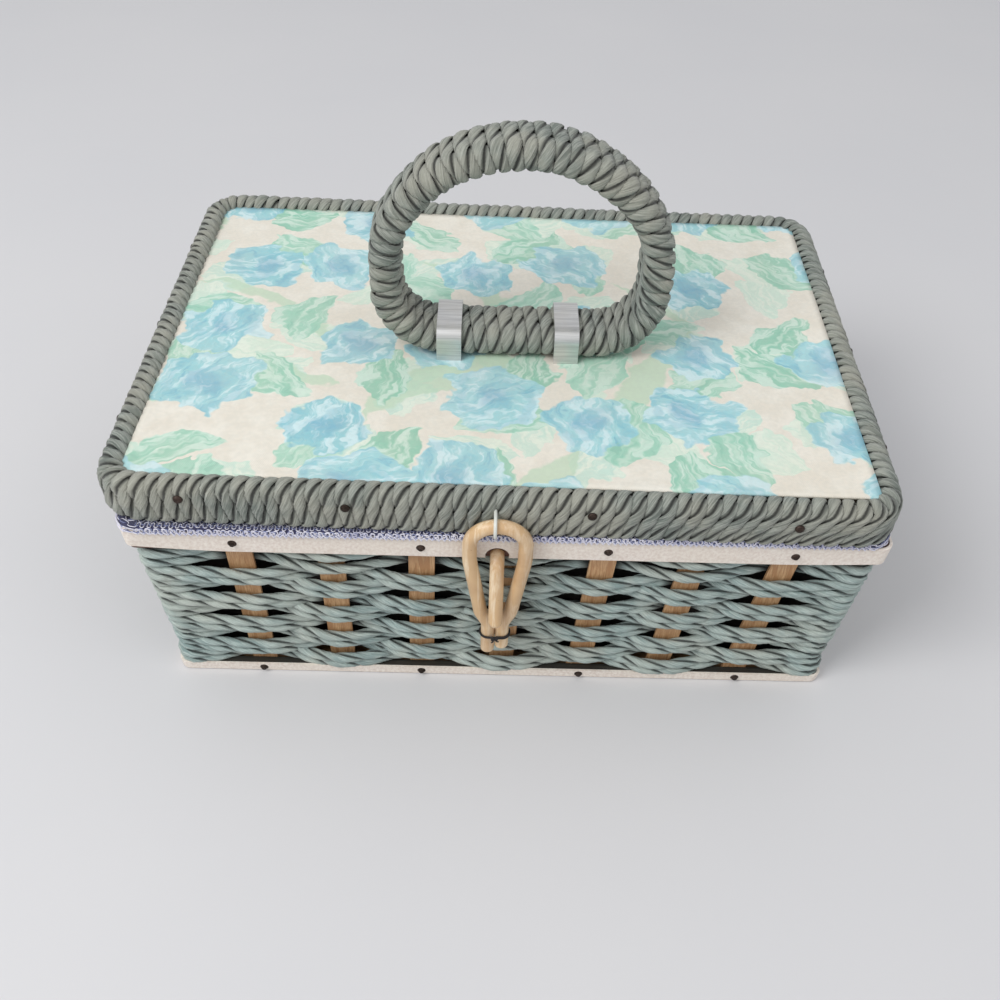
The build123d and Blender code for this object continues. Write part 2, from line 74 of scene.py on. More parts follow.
def add_primitive(operator, **settings):
    """Add a primitive with one of Blender's operators and return it, selected alone."""
    deselect_all()
    operator(**settings)
    return bpy.context.object


def settle(piece):
    """Apply a piece's place, turn and scale to its mesh, so that its object sits at the origin."""
    deselect_all()
    piece.select_set(True)
    bpy.context.view_layer.objects.active = piece
    bpy.ops.object.transform_apply(location=True, rotation=True, scale=True)


def apply_modifiers(piece):
    """Apply a piece's modifiers in their order."""
    deselect_all()
    piece.select_set(True)
    bpy.context.view_layer.objects.active = piece
    for modifier in list(piece.modifiers):
        bpy.ops.object.modifier_apply(modifier=modifier.name)


def mesh_points(piece):
    """Return the places of a piece's vertices."""
    points = np.empty(len(piece.data.vertices) * 3)
    piece.data.vertices.foreach_get("co", points)
    return points.reshape(-1, 3)


def move_points(piece, points):
    """Move a piece's vertices to new places."""
    piece.data.vertices.foreach_set("co", points.ravel())
    piece.data.update()


def join_pieces(pieces):
    """Join several meshes into one piece."""
    deselect_all()
    for piece in pieces:
        piece.select_set(True)
    bpy.context.view_layer.objects.active = pieces[0]
    bpy.ops.object.join()
    return bpy.context.object


def finish_piece(piece, name, material, body, stands_for=()):
    """Name a finished piece, give it its material, tie it to its body, and hide the nodes that it stands for."""
    piece.name = name
    piece.data.name = name
    piece.data.materials.clear()
    piece.data.materials.append(material)
    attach(piece, body)
    if stands_for:
        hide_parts(*stands_for)
    triangles = sum(len(face.vertices) - 2 for face in piece.data.polygons)
    print(f"{name}: {triangles} triangles")
    return piece


# %% [markdown]
# ## The camera
#
# The camera looks down at the front of the basket from about arm's length. A camera's matrix has its own right, up
# and backward directions as columns, so they are worked out from the three angles a photographer would name: the
# yaw, the pitch and the roll.

# %% Camera
camera_place = Vector((-5.89, -286.77, 264.04)) * MM
camera_yaw = math.radians(0.99)
camera_pitch = math.radians(41.75)
camera_roll = math.radians(2.05)
camera_lens = 41.21
camera_film = 36.0
nearest_seen = 10 * MM

aim = Vector((
    math.sin(camera_yaw) * math.cos(camera_pitch),
    math.cos(camera_yaw) * math.cos(camera_pitch),
    -math.sin(camera_pitch),
))
level_right = Vector((math.cos(camera_yaw), -math.sin(camera_yaw), 0))
level_up = level_right.cross(aim)
camera_right = level_right * math.cos(camera_roll) + level_up * math.sin(camera_roll)
camera_up = level_up * math.cos(camera_roll) - level_right * math.sin(camera_roll)

camera_data = bpy.data.cameras.new("camera")
camera_data.sensor_width = camera_film
camera_data.lens = camera_lens
camera_data.clip_start = nearest_seen
camera = bpy.data.objects.new("camera", camera_data)
scene.collection.objects.link(camera)
camera_turn = Matrix((camera_right, camera_up, -aim)).transposed().to_4x4()
camera.matrix_world = Matrix.Translation(camera_place) @ camera_turn
scene.camera = camera

# %% [markdown]
# ## Building finishes from nodes
#
# Every finish is a small network of nodes. Writing `nodes.new` and `links.new` for each one hides what the network
# does, so a few short helpers say it instead: place a node, do a sum, fade a value between two limits, mix two
# colours. They all work on the tree that was opened last.


# %% Node helpers
class Bench:
    """Holds the node tree that is being worked on."""
    tree = None


def feed(socket, value):
    """Give a socket a plain value, or link another node's output to it."""
    if isinstance(value, bpy.types.NodeSocket):
        Bench.tree.links.new(value, socket)
    elif isinstance(value, tuple) and len(value) == 3 and socket.type == "RGBA":
        socket.default_value = (*value, 1.0)
    else:
        socket.default_value = value


def place(kind, settings=None, **inputs):
    """Add a node, set it up and feed its named inputs. An underscore in a name stands for a space."""
    made = Bench.tree.nodes.new(kind)
    for key, value in (settings or {}).items():
        setattr(made, key, value)
    for key, value in inputs.items():
        feed(made.inputs[key.replace("_", " ")], value)
    return made


def calculate(operation, *values, clamp=False, kind="ShaderNodeMath"):
    """Return the output of a sum."""
    made = place(kind, {"operation": operation})
    if clamp:
        made.use_clamp = True
    for socket, value in zip(made.inputs, values):
        feed(socket, value)
    return made.outputs[0]


def times(first, second):
    """Return the product of two values."""
    return calculate("MULTIPLY", first, second)


def vectors(operation, *values):
    """Return the output of a sum on vectors."""
    return calculate(operation, *values, kind="ShaderNodeVectorMath")


def split(vector):
    """Return the three parts of a vector."""
    return place("ShaderNodeSeparateXYZ", Vector=vector).outputs


def fade(value, start, end, low=0.0, high=1.0):
    """Return low where the value is under start, high where it is over end, and a smooth change between."""
    made = place("ShaderNodeMapRange", {"interpolation_type": "SMOOTHSTEP"}, Value=value)
    for name, number in (("From Min", start), ("From Max", end), ("To Min", low), ("To Max", high)):
        feed(made.inputs[name], number)
    return made.outputs[0]


def mix(share, first, second):
    """Return the colour between two colours."""
    made = place("ShaderNodeMix", {"data_type": "RGBA", "clamp_factor": True})
    for index, value in ((0, share), (6, first), (7, second)):
        feed(made.inputs[index], value)
    return made.outputs[2]


def noise(vector, scale, detail=2.0, roughness=0.5, distortion=0.0):
    """Return the value of a noise texture."""
    return place(
        "ShaderNodeTexNoise", Vector=vector, Scale=scale, Detail=detail, Roughness=roughness, Distortion=distortion,
    ).outputs["Fac"]


def stretch(vector, scale):
    """Return coordinates scaled by a different amount on each axis, for grain that runs one way."""
    return place("ShaderNodeMapping", Vector=vector, Scale=scale).outputs["Vector"]


def turned(vector, order):
    """Return coordinates with their axes in another order, such as ZXY to run streaks up the piece."""
    parts = split(vector)
    return place("ShaderNodeCombineXYZ", X=parts[order[0]], Y=parts[order[1]], Z=parts[order[2]]).outputs[0]


def here():
    """Return the coordinates of the piece itself, in metres."""
    return place("ShaderNodeTexCoord").outputs["Object"]


def own_value(name):
    """Return a number that the piece's mesh stores at each point."""
    return place("ShaderNodeAttribute", {"attribute_name": name}).outputs["Fac"]


def paint(red, green, blue):
    """Return a colour for a shader from the three numbers of a paint chart, 0 to 255."""
    shares = [value / 255 for value in (red, green, blue)]
    return tuple(share / 12.92 if share <= 0.04045 else ((share + 0.055) / 1.055) ** 2.4 for share in shares)


black = (0.0, 0.0, 0.0)


def new_finish(name, roughness, **values):
    """Open a new material's tree, and return its Principled BSDF and the material itself."""
    material = bpy.data.materials.new(name)
    material.use_nodes = True
    Bench.tree = material.node_tree
    shader = material.node_tree.nodes["Principled BSDF"]
    shader.inputs["Roughness"].default_value = roughness
    for key, value in values.items():
        shader.inputs[key.replace("_", " ")].default_value = value
    return shader, material


def coat(shader, colour, height, strength, distance):
    """Give a shader its colour, and a relief from a height whose distance is in metres."""
    feed(shader.inputs["Base Color"], colour)
    relief = place("ShaderNodeBump", Height=height, Strength=strength, Distance=distance)
    feed(shader.inputs["Normal"], relief.outputs["Normal"])


# %% [markdown]
# ## Three effects that many finishes share
#
# Old natural stuff is never one colour. Fibre shows as fine streaks, handling leaves broad uneven patches, and small
# specks of dirt collect everywhere. Each of these is a node group, built once and placed in each finish with its own
# values. A group only puts out a mask or a height, and the finish decides what to do with it.


# %% Shared effects
def new_group(name, inputs, outputs):
    """Open a node group with named inputs and outputs, and return it with the ends that they hang from."""
    group = bpy.data.node_groups.new(name, "ShaderNodeTree")
    group.interface.new_socket(name="Vector", in_out="INPUT", socket_type="NodeSocketVector")
    for label, value in inputs.items():
        socket = group.interface.new_socket(name=label, in_out="INPUT", socket_type="NodeSocketFloat")
        socket.default_value = value
    for label in outputs:
        group.interface.new_socket(name=label, in_out="OUTPUT", socket_type="NodeSocketFloat")
    Bench.tree = group
    return group, group.nodes.new("NodeGroupInput").outputs, group.nodes.new("NodeGroupOutput").inputs


def use_group(group, **inputs):
    """Place a shared effect in a finish and return its outputs."""
    return place("ShaderNodeGroup", {"node_tree": group}, **inputs).outputs


def make_streaks():
    """Fine lines that run along X, with a few deeper ones among them."""
    group, given, result = new_group("streaks", {"Fine": 400.0, "Length": 0.05}, ["Mask", "Height"])
    along = place("ShaderNodeCombineXYZ", X=given["Length"], Y=1.0, Z=1.0).outputs[0]
    drawn = vectors("MULTIPLY", given["Vector"], along)
    fine = noise(drawn, given["Fine"], detail=3.0, roughness=0.6)
    crack = fade(noise(drawn, times(given["Fine"], 0.31), detail=1.0), 0.36, 0.46)
    feed(result["Mask"], times(fade(fine, 0.3, 0.7), crack))
    feed(result["Height"], times(fine, crack))
    return group


def make_patches():
    """Broad uneven patches, as handling and fading leave."""
    group, given, result = new_group("patches", {"Size": 40.0}, ["Mask"])
    broad = noise(given["Vector"], given["Size"], detail=4.0, roughness=0.6, distortion=0.6)
    feed(result["Mask"], fade(broad, 0.35, 0.68))
    return group


def make_specks():
    """Sparse small specks."""
    group, given, result = new_group("specks", {"Fine": 900.0, "Amount": 0.3}, ["Mask"])
    least = calculate("SUBTRACT", 0.82, times(given["Amount"], 0.35))
    feed(result["Mask"], fade(noise(given["Vector"], given["Fine"]), least, calculate("ADD", least, 0.06)))
    return group


streaks = make_streaks()
patches = make_patches()
specks = make_specks()

# %% [markdown]
# ## Paper cord
#
# The weft and both windings are paper, twisted tight and dyed a soft grey green. Up close each ply is a bundle of
# fine creases that run along it, so the streaks follow the cord's own UV map and turn with the twist. Shade is
# painted where two plies meet and deep inside the weave: the cord's mesh stores both places as values, `groove`
# and `depth`, and the finish darkens there, nearly to black deep in the weave.


# %% Paper cord finish
def paper_cord(name, pale, deep, faded):
    """Return a finish for twisted paper cord in three tones."""
    shader, material = new_finish(name, 0.8, Specular_IOR_Level=0.3, Sheen_Weight=0.15)
    along_the_ply = place("ShaderNodeTexCoord").outputs["UV"]
    creases = use_group(streaks, Vector=along_the_ply, Fine=26.0, Length=0.1)
    hairs = use_group(streaks, Vector=along_the_ply, Fine=75.0, Length=0.06)
    fading = use_group(patches, Vector=here(), Size=45.0)["Mask"]
    tone = mix(times(fading, 0.6), mix(creases["Mask"], deep, pale), faded)
    tone = mix(fade(hairs["Mask"], 0.1, 0.9, 0.82, 1.0), black, tone)
    # Painted shade: darker where the plies meet, and nearly black where a pair lies deep inside a stake.
    groove = fade(own_value("groove"), 0.3, 0.95, 1.0, 0.14)
    depth = fade(own_value("depth"), 0.25, 0.95, 1.0, 0.07)
    height = calculate("MULTIPLY_ADD", hairs["Height"], 0.35, creases["Height"])
    coat(shader, mix(times(groove, depth), black, tone), height, 0.8, 0.0005)
    return material


weave_cord = paper_cord("weave_cord", paint(192, 208, 202), paint(146, 166, 163), paint(202, 205, 192))
wrap_cord = paper_cord("wrap_cord", paint(170, 175, 166), paint(114, 122, 115), paint(180, 177, 162))

# %% [markdown]
# ## Cane, wood and board
#
# Split cane shows long brown fibres, and the grain has to run up each stake. Peeled cane, in the loop and the peg,
# is smoother and paler, with a thin natural gloss. The plain hoops and boards are hidden, but they are finished too,
# because they show when someone takes the basket apart. The hoop inside the rim and the hoop at the foot are near
# black: painted shade, for where they show between the cords and over the band. One function makes them all from a
# few tones and the direction of the grain.


# %% Cane, wood and board finishes
def grained(name, pale, deep, dirt, order, fine, length, roughness, relief, **values):
    """Return a finish whose grain runs along the first axis of the order given."""
    shader, material = new_finish(name, roughness, **values)
    spot = here()
    along = turned(spot, order)
    grain = use_group(streaks, Vector=along, Fine=fine, Length=length)
    broad = use_group(streaks, Vector=along, Fine=fine * 0.2, Length=length * 2)["Mask"]
    handled = use_group(patches, Vector=spot, Size=60.0)["Mask"]
    dots = use_group(specks, Vector=spot, Fine=1400.0, Amount=0.25)["Mask"]
    tone = mix(fade(broad, 0.0, 1.0, 0.45, 0.0), mix(grain["Mask"], deep, pale), deep)
    tone = mix(times(dots, 0.5), mix(times(handled, 0.35), tone, dirt), dirt)
    feed(shader.inputs["Roughness"], fade(handled, 0.0, 1.0, roughness, roughness * 0.8))
    coat(shader, tone, grain["Height"], relief, 0.0003)
    return material


cane_splint = grained(
    "cane_splint", paint(218, 180, 136), paint(176, 132, 92), paint(140, 102, 66), "ZXY", 2600.0, 0.03, 0.6, 0.6,
)
cane_rod = grained(
    "cane_rod", paint(234, 214, 182), paint(208, 174, 130), paint(156, 110, 72), "ZXY", 1300.0, 0.05, 0.42, 0.25,
    Coat_Weight=0.2, Coat_Roughness=0.35,
)
# Near-black cane for the hoop inside the rim, the foot hoop and the handle's core: painted shade, so that where the
# hoops show between cords or over the band they read as shadow.
painted_shade_cane = grained(
    "painted_shade_cane", paint(62, 60, 52), paint(42, 40, 35), paint(28, 26, 22), "XYZ", 1600.0, 0.05, 0.8, 0.4,
)
hoop_wood = grained(
    "hoop_wood", paint(112, 70, 50), paint(78, 46, 34), paint(50, 32, 26), "XYZ", 1500.0, 0.04, 0.7, 0.5,
)
board = grained(
    "board", paint(166, 132, 92), paint(128, 96, 62), paint(92, 68, 46), "XYZ", 900.0, 0.5, 0.8, 0.5,
)
card = grained(
    "card", paint(58, 52, 46), paint(38, 34, 31), paint(24, 22, 20), "XYZ", 700.0, 0.6, 0.9, 0.4,
)

# %% [markdown]
# ## Vinyl, iron, wire and the metal straps
#
# The strips round the mouth and the foot are pale vinyl, a little pink with age and faintly mottled. The nails are
# blued iron gone brown, and the straps are soft aluminium with the fine lines of rolling across them. Metal needs
# its lines in the roughness as well as in the height, because that is what breaks up its shine.


# %% Vinyl and metal finishes
def make_band_vinyl():
    """Pale vinyl strip with a faint leathery mottle and dust in its texture."""
    shader, material = new_finish("band_vinyl", 0.5, Specular_IOR_Level=0.4)
    spot = here()
    mottle = noise(spot, 1100.0, detail=3.0, roughness=0.65)
    aged = use_group(patches, Vector=spot, Size=50.0)["Mask"]
    dust = use_group(specks, Vector=spot, Fine=800.0, Amount=0.2)["Mask"]
    tone = mix(fade(mottle, 0.3, 0.7), paint(216, 203, 192), paint(235, 227, 217))
    tone = mix(times(aged, 0.3), tone, paint(224, 214, 198))
    tone = mix(times(dust, 0.35), tone, paint(150, 130, 118))
    ribs = place(
        "ShaderNodeTexWave", {"wave_type": "BANDS", "bands_direction": "X"},
        Vector=spot, Scale=260.0, Distortion=1.5, Detail=1.0,
    ).outputs["Fac"]
    coat(shader, tone, calculate("MULTIPLY_ADD", ribs, 0.35, mottle), 0.35, 0.0002)
    return material


def make_metal(name, bright, dull, roughness, fine, length, rust, rust_share):
    """Return a worn metal with fine lines along X and dull or rusty patches."""
    shader, material = new_finish(name, roughness, Metallic=1.0)
    spot = here()
    lines = use_group(streaks, Vector=spot, Fine=fine, Length=length)
    rusty = times(use_group(patches, Vector=spot, Size=180.0)["Mask"], rust_share)
    feed(shader.inputs["Metallic"], calculate("SUBTRACT", 1.0, rusty, clamp=True))
    feed(shader.inputs["Roughness"], fade(lines["Mask"], 0.0, 1.0, roughness * 1.25, roughness * 0.85))
    coat(shader, mix(rusty, mix(lines["Mask"], dull, bright), rust), lines["Height"], 0.25, 0.0001)
    return material


band_vinyl = make_band_vinyl()
nail_iron = make_metal(
    "nail_iron", paint(70, 60, 54), paint(44, 38, 34), 0.5, 2500.0, 0.5, paint(58, 36, 26), 0.7,
)
strap_metal = make_metal(
    "strap_metal", paint(226, 226, 224), paint(198, 198, 197), 0.38, 5000.0, 0.02, paint(190, 184, 174), 0.25,
)
ring_wire = make_metal(
    "ring_wire", paint(196, 194, 188), paint(150, 146, 138), 0.35, 4000.0, 0.3, paint(120, 92, 66), 0.35,
)

# %% [markdown]
# ## Cloth, thread and braid
#
# The lining is padded satin: a fine weave in the height, and a soft sheen that comes from the shader itself. The
# braid over the mouth is a navy ribbon with looped threads on it, and the loop is bound with waxed black thread. They
# share one function, because all of them are yarn at different scales.


# %% Cloth and thread finishes
def yarn(name, pale, deep, roughness, yarn_count, relief, **values):
    """Return a finish of fine crossing yarns, with yarn_count of them to the metre."""
    shader, material = new_finish(name, roughness, **values)
    spot = here()
    x, y, z = split(spot)
    turn = 2 * math.pi * yarn_count
    across = calculate("SINE", times(calculate("ADD", x, y), turn))
    along = calculate("SINE", times(calculate("SUBTRACT", z, calculate("SUBTRACT", x, y)), turn))
    weave = times(across, along)
    tone = mix(times(use_group(patches, Vector=spot, Size=35.0)["Mask"], 0.6), pale, deep)
    tone = mix(fade(weave, -1.0, 0.2, 0.25, 0.0), tone, deep)
    lint = noise(spot, yarn_count * 1.7)
    coat(shader, tone, calculate("MULTIPLY_ADD", weave, 0.5, lint), relief, 0.0002)
    return material


satin = yarn(
    "satin", paint(176, 205, 214), paint(146, 180, 194), 0.36, 2200.0, 0.12,
    Sheen_Weight=0.4, Sheen_Roughness=0.4, Specular_IOR_Level=0.55,
)
braid_ribbon = yarn("braid_ribbon", paint(50, 50, 88), paint(24, 24, 50), 0.75, 1300.0, 0.6, Sheen_Weight=0.3)
white_thread = yarn("white_thread", paint(230, 228, 236), paint(176, 176, 206), 0.7, 1800.0, 0.5, Sheen_Weight=0.3)
lilac_thread = yarn("lilac_thread", paint(132, 140, 180), paint(84, 90, 134), 0.7, 1800.0, 0.5, Sheen_Weight=0.3)
black_thread = yarn("black_thread", paint(44, 40, 40), paint(24, 22, 24), 0.6, 2400.0, 0.6)
hanger_plastic = yarn(
    "hanger_plastic", paint(212, 214, 206), paint(186, 188, 178), 0.3, 900.0, 0.08,
    Coat_Weight=0.25, Coat_Roughness=0.2,
)

# %% [markdown]
# ## The printed panel
#
# The lid's panel is vinyl printed like a watercolour: round blue blooms, green leaves and pale stems on cream. This
# one is an arrangement of its own. A Voronoi texture scatters points, and each cell knows where its own point is,
# so a shape can be drawn round it: a ragged disc with curling petal lines for a bloom, and a pointed ellipse, turned
# by a random angle, for a leaf. Noise added to the coordinates first makes every edge wander as wet paint does.


# %% Printed vinyl finish
canvas_pitch = 0.55 * MM


def scattered(spot, scale, randomness, shift):
    """Return a cell's own centred coordinates, in cells, and its random colour's three parts."""
    moved = vectors("ADD", spot, shift)
    cells = place(
        "ShaderNodeTexVoronoi", {"voronoi_dimensions": "2D", "feature": "F1"},
        Vector=moved, Scale=scale, Randomness=randomness,
    ).outputs
    local = place(
        "ShaderNodeVectorMath", {"operation": "SCALE"},
        Vector=vectors("SUBTRACT", moved, cells["Position"]), Scale=scale,
    ).outputs[0]
    return local, place("ShaderNodeSeparateColor", Color=cells["Color"]).outputs


def spun(local, angle):
    """Return a cell's coordinates turned by an angle."""
    return place("ShaderNodeVectorRotate", {"rotation_type": "Z_AXIS"}, Vector=local, Angle=angle).outputs[0]


def brushed(local, luck, length):
    """Return brush strokes on a cell's own coordinates, longer along its first axis."""
    own_start = place("ShaderNodeCombineXYZ", Z=luck).outputs[0]
    return noise(vectors("ADD", stretch(local, (length, 1.0, 1.0)), own_start), 11.0, detail=3.0, roughness=0.65)


def leaf_layer(spot, scale, shift, slim):
    """Return the mask of scattered leaves, the line of their ribs, their random tone and their brush strokes."""
    local, luck = scattered(spot, scale, 0.85, shift)
    local = spun(local, times(luck[0], 2 * math.pi))
    x, y, z = split(local)
    across = calculate("ABSOLUTE", calculate("SUBTRACT", y, times(times(x, x), 0.55)))
    run = times(x, 2.05)
    belly = calculate("SUBTRACT", 1.0, times(run, run))
    size = calculate("MULTIPLY_ADD", luck[1], 0.12, slim)
    mask = fade(calculate("SUBTRACT", times(belly, size), across), -0.012, 0.012)
    return mask, fade(across, 0.0, 0.035, 1.0, 0.0), luck[2], brushed(local, luck[2], 0.22)


def bloom_layer(spot, scale, shift, radius):
    """Return the mask of scattered round blooms, their petal lines, random tone, reach and brush strokes."""
    local, luck = scattered(spot, scale, 0.62, shift)
    x, y, z = split(local)
    reach = calculate("POWER", calculate("ADD", times(x, x), times(y, y)), 0.5)
    angle = calculate("ARCTAN2", y, x)
    scallop = calculate("SINE", calculate("MULTIPLY_ADD", angle, 6.0, times(luck[0], 6.0)))
    rim = calculate("MULTIPLY_ADD", scallop, 0.028, calculate("MULTIPLY_ADD", luck[1], 0.1, radius))
    mask = fade(calculate("SUBTRACT", rim, reach), -0.01, 0.012)
    petal = fade(calculate("SINE", calculate("MULTIPLY_ADD", reach, 30.0, times(angle, 2.0))), 0.0, 0.95)
    return mask, petal, luck[2], reach, brushed(spun(local, times(luck[0], math.pi)), luck[1], 0.35)


def make_printed_vinyl():
    """Cream vinyl with a watercolour of blue blooms and green leaves, pressed with a fine canvas grain."""
    shader, material = new_finish("printed_vinyl", 0.55, Specular_IOR_Level=0.35)
    spot = here()
    wander = place("ShaderNodeTexNoise", Vector=spot, Scale=75.0, Detail=3.0, Roughness=0.6).outputs["Color"]
    wander = vectors("SUBTRACT", wander, (0.5, 0.5, 0.5))
    flat_spot = stretch(vectors("MULTIPLY_ADD", wander, (0.016, 0.016, 0.0), spot), (1.0, 1.0, 0.0))
    wash = noise(spot, 140.0, detail=4.0, roughness=0.65)
    tone = mix(fade(wash, 0.35, 0.7), paint(226, 219, 205), paint(234, 229, 217))

    mask, rib, luck, strokes = leaf_layer(flat_spot, 40.0, (0.31, 0.17, 0.0), 0.23)
    mint = mix(luck, paint(206, 228, 210), paint(190, 222, 208))
    mint = mix(fade(strokes, 0.42, 0.6), mint, paint(222, 234, 218))
    tone = mix(times(mask, 0.85), tone, mint)

    stem_mask = leaf_layer(flat_spot, 17.0, (0.51, 0.23, 0.0), 0.03)[0]
    tone = mix(times(stem_mask, 0.75), tone, paint(186, 214, 186))

    mask, rib, luck, strokes = leaf_layer(flat_spot, 35.0, (0.07, 0.43, 0.0), 0.22)
    green = mix(luck, paint(136, 196, 170), paint(160, 210, 188))
    green = mix(fade(strokes, 0.44, 0.6), green, paint(200, 226, 210))
    green = mix(fade(strokes, 0.3, 0.44, 0.6, 0.0), green, paint(122, 184, 162))
    green = mix(times(rib, 0.5), green, paint(212, 232, 216))
    tone = mix(times(mask, 0.92), tone, green)

    mask, petal, luck, reach, strokes = bloom_layer(flat_spot, 27.0, (0.21, 0.05, 0.0), 0.29)
    blue = mix(luck, paint(142, 200, 208), paint(166, 214, 218))
    blue = mix(fade(strokes, 0.46, 0.6), blue, paint(204, 230, 234))
    blue = mix(fade(strokes, 0.3, 0.44, 0.75, 0.0), blue, paint(112, 176, 198))
    blue = mix(times(petal, 0.4), blue, paint(118, 184, 202))
    blue = mix(fade(reach, 0.04, 0.2, 0.5, 0.0), blue, paint(104, 160, 192))
    tone = mix(times(mask, 0.94), tone, blue)

    aged = use_group(patches, Vector=spot, Size=22.0)["Mask"]
    tone = mix(times(aged, 0.12), tone, paint(214, 196, 168))
    x, y, z = split(spot)
    turn = 2 * math.pi / canvas_pitch
    canvas = times(calculate("SINE", times(x, turn)), calculate("SINE", times(y, turn)))
    grain = noise(spot, 900.0)
    tone = mix(fade(grain, 0.35, 0.65, 0.12, 0.0), tone, paint(180, 186, 178))
    tone = mix(fade(canvas, -0.8, 0.2, 0.14, 0.0), tone, paint(140, 160, 156))
    coat(shader, tone, calculate("MULTIPLY_ADD", grain, 0.8, canvas), 0.25, 0.0001)
    return material


printed_vinyl = make_printed_vinyl()

# %% [markdown]
# ## Going round a rounded rectangle
#
# Nearly everything here follows a rounded rectangle: the wall, the rim, and the section that a cord is wound round.
# Such a loop is an inner rectangle with a circle rolled along it. So one function turns a distance along the loop
# into a point and its outward direction, by interpolating between the ends of the straights and the corners.


# %% A rounded loop
tightest_corner = 0.4 * MM


def loop_length(half_x, half_y, corner):
    """Return the length of a rounded rectangle."""
    return 4 * (half_x + half_y - 2 * corner) + 2 * math.pi * corner


def round_loop(distance, half_x, half_y, corner, grow=0.0):
    """Return points and outward directions at distances along a loop, anticlockwise from its front middle.

    grow moves the points outwards, by one amount or by one for each point.
    """
    a = half_x - corner
    b = half_y - corner
    turn = math.pi * corner / 2
    steps = np.cumsum([0, a, turn, 2 * b, turn, 2 * a, turn, 2 * b, turn, a])
    place_on_loop = np.mod(distance, steps[-1])
    heading = np.interp(place_on_loop, steps, math.pi * np.array([-1, -1, 0, 0, 1, 1, 2, 2, 3, 3]) / 2)
    share_x = np.interp(place_on_loop, steps, [0, 1, 1, 1, 1, -1, -1, -1, -1, 0])
    share_y = np.interp(place_on_loop, steps, [-1, -1, -1, 1, 1, 1, 1, -1, -1, -1])
    outward = np.column_stack([np.cos(heading), np.sin(heading)])
    reach = np.maximum(corner + grow, tightest_corner) * np.ones(len(heading))
    inner = np.column_stack([share_x * (half_x + grow - reach), share_y * (half_y + grow - reach)])
    return inner + reach[:, None] * outward, outward


# %% [markdown]
# ## Twisted cord
#
# Two plies twisted together make a section like a figure of eight that turns as it goes along. No modelling
# operator winds such a section along a path with its own surface direction, so the mesh is worked out ring by ring:
# each ring is the section, turned a little further. The ring's points also become the UV map, which runs along the
# plies, and `groove` is 1 where the plies meet, where the finish paints shade. A tightly wound cord doesn't turn
# evenly: each ply stays on top for a while and then dives, and `dwell` says how much. Plain threads and bands are
# meshes of rings too.

# %% Twisted cord mesh
ply_offset = 0.45
ply_thickness = 0.55
ply_breadth = 0.86
ply_plumpness = 0.1
groove_breadth = 1.35
groove_power = 3
points_per_ply = 6
ply_map_length = 10 * MM
ply_map_breadth = 1.2
thread_tip = 0.02


def ply_section():
    """Return the outline of two plies, in shares of the cord's half width, and where it is grooved."""
    start = math.acos(-ply_offset / ply_thickness)
    angles = np.linspace(-start, start, points_per_ply, endpoint=False)
    one = np.column_stack([ply_offset + ply_thickness * np.cos(angles), ply_breadth * np.sin(angles)])
    groove = np.clip(groove_breadth * (np.abs(angles) / start) ** groove_power, 0, 1)
    return np.vstack([one, -one]), np.concatenate([groove, groove])


def thread_section(points):
    """Return the outline of a plain round thread, which has no groove."""
    angles = np.linspace(0, 2 * math.pi, points, endpoint=False)
    return np.column_stack([np.cos(angles), np.sin(angles)]), np.zeros(points)


def cord_rings(path, normals, width, thickness, turns, phase, dwell, closed, section=None):
    """Return the rings of a twisted cord and the distance along it, for a path with its surface normals."""
    if closed:
        ahead = np.roll(path, -1, axis=0) - np.roll(path, 1, axis=0)
        gaps = np.linalg.norm(path - np.roll(path, 1, axis=0), axis=1)
        gaps[0] = 0
    else:
        ahead = np.gradient(path, axis=0)
        gaps = np.concatenate([[0], np.linalg.norm(np.diff(path, axis=0), axis=1)])
    tangent = ahead / np.linalg.norm(ahead, axis=1)[:, None]
    up = normals - np.sum(normals * tangent, axis=1)[:, None] * tangent
    up /= np.linalg.norm(up, axis=1)[:, None]
    side = np.cross(tangent, up)
    distance = np.cumsum(gaps)
    share = np.linspace(0, 1, len(path), endpoint=not closed)
    even_angle = phase + 2 * math.pi * turns * share
    angle = even_angle - dwell * np.sin(2 * even_angle)
    plump = (1 + ply_plumpness * np.cos(2 * angle))[:, None]
    section, groove = section or ply_section()
    cosine, sine = np.cos(angle)[:, None], np.sin(angle)[:, None]
    half_width = np.broadcast_to(width / 2, len(path))[:, None]
    up_reach = (section[:, 0] * cosine - section[:, 1] * sine) * (thickness / 2) * plump
    side_reach = (section[:, 0] * sine + section[:, 1] * cosine) * half_width
    rings = path[:, None, :] + up[:, None, :] * up_reach[:, :, None] + side[:, None, :] * side_reach[:, :, None]
    return rings, distance, groove


def plain(rings, distance, closed=True):
    """Return rings that have no groove and no depth, as cord_mesh wants them."""
    count, size, _ = rings.shape
    return rings, distance, np.zeros(size), np.zeros(count), closed


def thread(path, normals, radius, points, closed):
    """Return a plain round thread, which comes to a point at both ends unless it closes."""
    section = thread_section(points)
    rings, distance, _ = cord_rings(path, normals, 2 * radius, 2 * radius, 0, 0.0, 0.0, closed, section)
    if not closed:
        taper = np.ones((len(path), 1, 1))
        taper[[0, -1]] = thread_tip
        rings = path[:, None, :] + (rings - path[:, None, :]) * taper
    return plain(rings, distance, closed)


